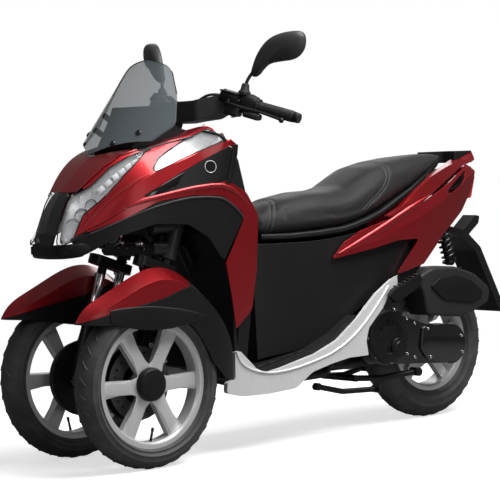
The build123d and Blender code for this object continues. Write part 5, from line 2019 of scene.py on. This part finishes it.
            rims.loft([Ring(mirrored(spot, side), (0.0105, 0.0035), FORWARD, LEFT, 3.0)
                       for spot in post], 24)
            # Bead along the arch panel's edge: a real rounded edge, coloured lighter grey than the panel
            # as a painted highlight.
            found = [self._beside("arch_panels", x, z, side) for x, z in edge]
            points = [spot[0] for spot in found if spot and spot[0].y * side > 0.05]
            if len(points) > 2:
                ledge_highlights.hose(points, 0.0036)
        seals.piece("nose_seals", Body.CHASSIS, SATIN_BLACK, 60.0)
        gaps.piece("cowl_gaps", Body.CHASSIS, GLOSS_BLACK, 60.0)
        rims.piece("cowl_rear_rims", Body.CHASSIS, SATIN_BLACK, 60.0)
        ledge_highlights.piece("arch_ledge_highlights", Body.CHASSIS, SATIN_GREY, 60.0)

    def _ridges(self) -> None:
        """The rolled crests along the red panels: name, way out, half-width and points."""
        crests = (
            ("rear_ridges", (0.06, 0.99, 0.12), 0.0100,
             ((-0.110, 0.1498, 0.5835), (-0.150, 0.1550, 0.5980), (-0.217, 0.1592, 0.6241),
              (-0.264, 0.1613, 0.6440), (-0.317, 0.1628, 0.6669), (-0.366, 0.1630, 0.6887),
              (-0.418, 0.1619, 0.7105), (-0.466, 0.1592, 0.7310), (-0.5175, 0.1546, 0.7516))),
            ("band_ridges", (0.14, 0.98, 0.10), 0.0075,
             ((0.7350, 0.1730, 0.7735), (0.7199, 0.1775, 0.7790), (0.6814, 0.1891, 0.7910),
              (0.6237, 0.2024, 0.8020), (0.5627, 0.2122, 0.8125), (0.5117, 0.2190, 0.8200),
              (0.4586, 0.2260, 0.8247), (0.4209, 0.2296, 0.8240), (0.3844, 0.2315, 0.8110),
              (0.3507, 0.2320, 0.7883), (0.3202, 0.2318, 0.7627))),
            ("cowl_ridges", (0.57, 0.73, 0.37), 0.0085,
             ((0.8589, 0.1044, 0.7068), (0.8432, 0.1090, 0.7235), (0.8218, 0.1160, 0.7488),
              (0.7984, 0.1252, 0.7740), (0.7743, 0.1359, 0.7972), (0.7477, 0.1481, 0.8185),
              (0.7195, 0.1602, 0.8375), (0.6875, 0.1728, 0.8540), (0.6551, 0.1831, 0.8668))),
        )
        for name, way, wide, points in crests:
            form = Form()
            for side in (1, -1):
                line = [mirrored(point, side) for point in points]
                out, rings = mirrored(way, side), []
                for number, spot in enumerate(line):
                    run = run_at(line, number)
                    across = (out - run * out.dot(run)).normalized()
                    size = min(1.0, 0.25 + 0.4 * min(number, len(line) - 1 - number))
                    rings.append(Ring(spot, (0.0052 * size, wide * size), across, run.cross(across), 2.0))
                form.loft(rings, 32)
            form.piece(name, Body.CHASSIS, CANDY_RED, 60.0)

    def _skirt_ledge(self) -> None:
        """The raised crescent along each front skirt's shoulder."""
        rows = ((0.935, 0.4655, 0.4635), (0.915, 0.470, 0.461), (0.890, 0.475, 0.453),
                (0.860, 0.481, 0.443), (0.820, 0.485, 0.431), (0.780, 0.486, 0.421),
                (0.740, 0.485, 0.415), (0.700, 0.482, 0.413), (0.660, 0.476, 0.414),
                (0.620, 0.470, 0.416), (0.580, 0.461, 0.420), (0.550, 0.452, 0.424),
                (0.525, 0.444, 0.430), (0.505, 0.438, 0.435))
        for side, word in SIDES:
            body = Body.LEFT_FORK if side > 0 else Body.RIGHT_FORK
            form, rings = Form(), []
            for x, top, low in rows:
                found = self._beside(f"fender_skirt_{word}", x, (top + low) / 2, side)
                if found:
                    bulge = min(0.0034, 0.0006 + (top - low) * 0.06)
                    rings.append(Ring(found[0], (bulge, (top - low) / 2), square=3.0))
            form.loft(rings, 32)
            form.piece(f"skirt_ledge_{word}", body, SATIN_BLACK, 50.0)

    def _leg_shield(self) -> None:
        """What the rider faces: the glovebox lid, the lock and the bag hook."""
        lid, lock, hook = Form(), Form(), Form()
        corners = ((0.040, 0.730), (0.132, 0.730), (0.140, 0.742), (0.140, 0.842), (0.128, 0.858),
                   (0.046, 0.858), (0.036, 0.846), (0.036, 0.742))
        found = [self._ahead(y, z) for y, z in corners]
        if all(found):
            lid.slab([spot[0] for spot in found], (-0.004, 0.0, 0.0))
            lid.soften(0.0015)
            lid.piece("glovebox_lid", Body.CHASSIS, SATIN_BLACK)
        spot = self._ahead(-0.095, 0.850)
        if spot:
            place, normal = spot
            lock.lathe([(0.0, 0.006), (0.009, 0.006), (0.010, 0.009), (0.017, 0.009), (0.020, 0.006),
                        (0.021, -0.004), (0.0, -0.004)], place, normal, 36)
            lock.block(place + normal * 0.0075, (0.003, 0.010, 0.003), aim(normal))
            lock.piece("ignition_lock", Body.CHASSIS, BLACK_METAL)
        spot = self._ahead(0.0, 0.700)
        if spot:
            place, normal = spot
            hook.hose([place, place + normal * 0.018, place + normal * 0.030 + Vector((0.0, 0.0, -0.010)),
                       place + normal * 0.034 + Vector((0.0, 0.0, -0.024)),
                       place + normal * 0.044 + Vector((0.0, 0.0, -0.016))], 0.0042)
            hook.piece("bag_hook", Body.CHASSIS, GLOSS_BLACK, 60.0)

    def _silver_lip(self) -> None:
        """The rolled upper edge of the silver side panels."""
        line = ((0.362, 0.318), (0.352, 0.290), (0.330, 0.268), (0.290, 0.250), (0.235, 0.2385),
                (0.170, 0.2400), (0.110, 0.2475), (0.040, 0.2610), (-0.030, 0.2790), (-0.095, 0.3070),
                (-0.150, 0.3420), (-0.200, 0.3830), (-0.245, 0.4270), (-0.290, 0.4700))
        form = Form()
        for side in (1, -1):
            points = []
            for x, z in line:
                found = self._beside("lower_side_panels", x, z - 0.003, side)
                if found:
                    points.append((found[0].x, found[0].y, z - 0.002))
            if len(points) > 2:
                form.hose(points, 0.0042)
        form.piece("silver_lips", Body.CHASSIS, SILVER, 60.0)

    def _tail_core(self) -> None:
        """The dark box between the tail panels, seen through the grab slots."""
        form = Form()
        form.loft([Ring((x, 0.0, z), (wide, 0.034), square=5.0)
                   for x, z, wide in ((-0.560, 0.772, 0.096), (-0.640, 0.784, 0.098),
                                      (-0.710, 0.796, 0.088), (-0.772, 0.800, 0.060))], 32)
        form.piece("tail_box", Body.CHASSIS, CHARCOAL, 40.0)

    def _mats(self) -> None:
        """Ribbed rubber mats on the floor."""
        form = Form()
        for side in (1, -1):
            for number in range(9):
                x = 0.232 - 0.019 * number
                found = self._stuck("floor_board", (x, 0.152 * side, 0.60), (0.0, 0.0, -1.0))
                if found:
                    place, normal = found
                    form.block(place + normal * 0.0012, (0.009, 0.040, 0.004), aim(normal))
        form.soften(0.0012)
        form.piece("floor_ribs", Body.CHASSIS, SOFT_RUBBER)

    def _footrests(self) -> None:
        """Ribs on the passenger's footrests."""
        form = Form()
        for side in (1, -1):
            for number in range(6):
                x = -0.300 - 0.018 * number
                z = 0.4675 + (x + 0.300) * -0.36
                form.block((x, 0.206 * side, z), (0.008, 0.018, 0.003), Matrix.Rotation(0.35, 4, "Y"))
        form.soften(0.001)
        form.piece("footrest_ribs", Body.CHASSIS, SOFT_RUBBER)


# ---------------------------------------------------------------- the studio


@dataclass
class Studio:
    """Floor, backdrop light, lamps and the camera."""

    camera_place: Point = (4.64099, 5.46629, 0.97931)
    camera_right: Point = (-0.76747, 0.64006, -0.03633)
    camera_up: Point = (-0.06651, -0.02313, 0.99752)
    camera_forward: Point = (-0.63763, -0.76798, -0.06032)
    lens: float = 161.35
    sensor: float = 36.0
    shift: tuple[float, float] = (-0.0154, 0.0350)
    floor_size: float = 40.0
    floor_glow: float = 0.62
    floor_fade: tuple[float, float] = (1.5, 3.0)
    white: Colour = (1.0, 1.0, 1.0)
    lamps: tuple[tuple[str, Point, Point, float, float], ...] = (
        ("overhead", (-0.4, 1.1, 2.8), (-0.1, 0.0, 0.7), 2.2, 122.0),
        ("key", (3.6, 1.6, 2.4), (0.3, 0.0, 0.7), 1.0, 7.0),
        ("side", (0.8, 4.8, 1.0), (-0.1, 0.0, 0.4), 1.6, 14.0),
        ("back", (-2.5, -3.2, 2.4), (0.0, 0.0, 0.6), 1.8, 20.0),
    )

    def build(self) -> None:
        """Makes the whole studio."""
        self._world()
        self._floor()
        for row in self.lamps:
            self._lamp(*row)
        self._camera()

    def _background(self, graph: Graph) -> Wire:
        """One for camera rays and those through clear parts, a little for glossy ones.

        Args:
            graph: the material's node graph.

        Returns:
            A wire from nought to one.
        """
        path = graph.node("ShaderNodeLightPath", output="Is Camera Ray")
        glossy = Wire(graph, path.socket.node.outputs["Is Glossy Ray"])
        through = Wire(graph, path.socket.node.outputs["Is Transmission Ray"])
        return path.most(through).most(glossy * 0.03)

    def _world(self) -> None:
        """A white backdrop with a softer light on the object."""
        world = bpy.data.worlds.new("backdrop")
        world.use_nodes = True
        bpy.context.scene.world = world
        graph = Graph(world.node_tree)
        seen = self._background(graph)
        shade = graph.node("ShaderNodeBackground", {}, {"Color": self.white,
                                                        "Strength": seen * 0.9 + 0.1})
        graph.node("ShaderNodeOutputWorld", {}, {"Surface": shade})

    def _floor(self) -> None:
        """A pale floor that keeps the object's shadow."""
        form = bmesh.new()
        bmesh.ops.create_grid(form, x_segments=1, y_segments=1, size=self.floor_size / 2)
        mesh = bpy.data.meshes.new("floor")
        form.to_mesh(mesh)
        form.free()
        floor = linked("floor", mesh)
        paper = bpy.data.materials.new("floor_paper")
        paper.use_nodes = True
        graph = Graph(paper.node_tree)
        fibres = graph.noise(260.0, 3.0)
        tone = graph.blend(fibres, (0.9, 0.9, 0.9), (0.95, 0.95, 0.95))
        dull = graph.node("ShaderNodeBsdfDiffuse", {}, {"Color": (0.22, 0.22, 0.22)})
        matt = graph.node("ShaderNodeBsdfDiffuse", {}, {"Color": tone})
        bright = graph.node("ShaderNodeEmission", {}, {"Color": self.white, "Strength": self.floor_glow})
        both = graph.node("ShaderNodeAddShader", {}, {0: matt, 1: bright})
        seen = self._background(graph)
        near = graph.node("ShaderNodeMixShader", {}, {0: seen, 1: dull, 2: both})
        white = graph.node("ShaderNodeEmission", {}, {"Color": self.white, "Strength": 1.0})
        reach = graph.node("ShaderNodeVectorMath", {"operation": "LENGTH"}, {0: graph.place()}, "Value")
        away = seen * reach.stepped(*self.floor_fade)
        surface = graph.node("ShaderNodeMixShader", {}, {0: away, 1: near, 2: white})
        graph.node("ShaderNodeOutputMaterial", {}, {"Surface": surface})
        mesh.materials.append(paper)

    def _lamp(self, name: str, place: Point, target: Point, size: float, power: float) -> None:
        """Adds a square softbox.

        Args:
            name: the lamp's name.
            place: where it hangs.
            target: what it points at.
            size: its side in metres.
            power: its power in watts.
        """
        data = bpy.data.lights.new(name, "AREA")
        data.shape = "SQUARE"
        data.size = size
        data.energy = power
        turn = (Vector(target) - Vector(place)).to_track_quat("-Z", "Y").to_matrix().to_4x4()
        linked(name, data).matrix_world = Matrix.Translation(place) @ turn

    def _camera(self) -> None:
        """Sets the camera to the view that the scooter is drawn from."""
        data = bpy.data.cameras.new("camera")
        data.lens = self.lens
        data.sensor_width = self.sensor
        data.shift_x, data.shift_y = self.shift
        data.clip_end = 100.0
        camera = linked("camera", data)
        turn = facing(Vector(self.camera_right), Vector(self.camera_up), -Vector(self.camera_forward))
        camera.matrix_world = Matrix.Translation(self.camera_place) @ turn
        bpy.context.scene.camera = camera


def dress_nodes(nodes: dict[str, bpy.types.Object]) -> None:
    """Gives every CAD node its finish.

    Args:
        nodes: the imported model's objects by name.
    """
    for finish, names in NODE_FINISHES.items():
        for name in names:
            mesh = nodes[name].data
            mesh.materials.clear()
            mesh.materials.append(finish.material())
            LOG.info("%s: %s", name, finish.name)


def main() -> None:
    """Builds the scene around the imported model."""
    logging.basicConfig(level=logging.INFO, format="%(name)s: %(message)s")
    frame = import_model()
    bpy.context.scene.view_settings.view_transform = "Standard"
    Studio().build()
    nodes = frame["nodes"]
    dress_nodes(nodes)
    for side in (1, -1):
        FrontWheel(side).build()
        FrontLeg(side).build()
    Tyre("tyre_rear", "rear_tyre", Body.REAR_WHEEL, (-0.6075, 0.0, 0.251), outer=0.251, width=0.112,
         rim=0.163, pitches=38).build()
    Saddle().build()
    NoseWorks().build()
    Lamps(nodes).build()
    Mirrors().build()
    Handlebar().build()
    DriveSide().build()
    RearShocks().build()
    Exhaust().build()
    Trim(nodes).build()


if __name__ == "__main__":
    main()
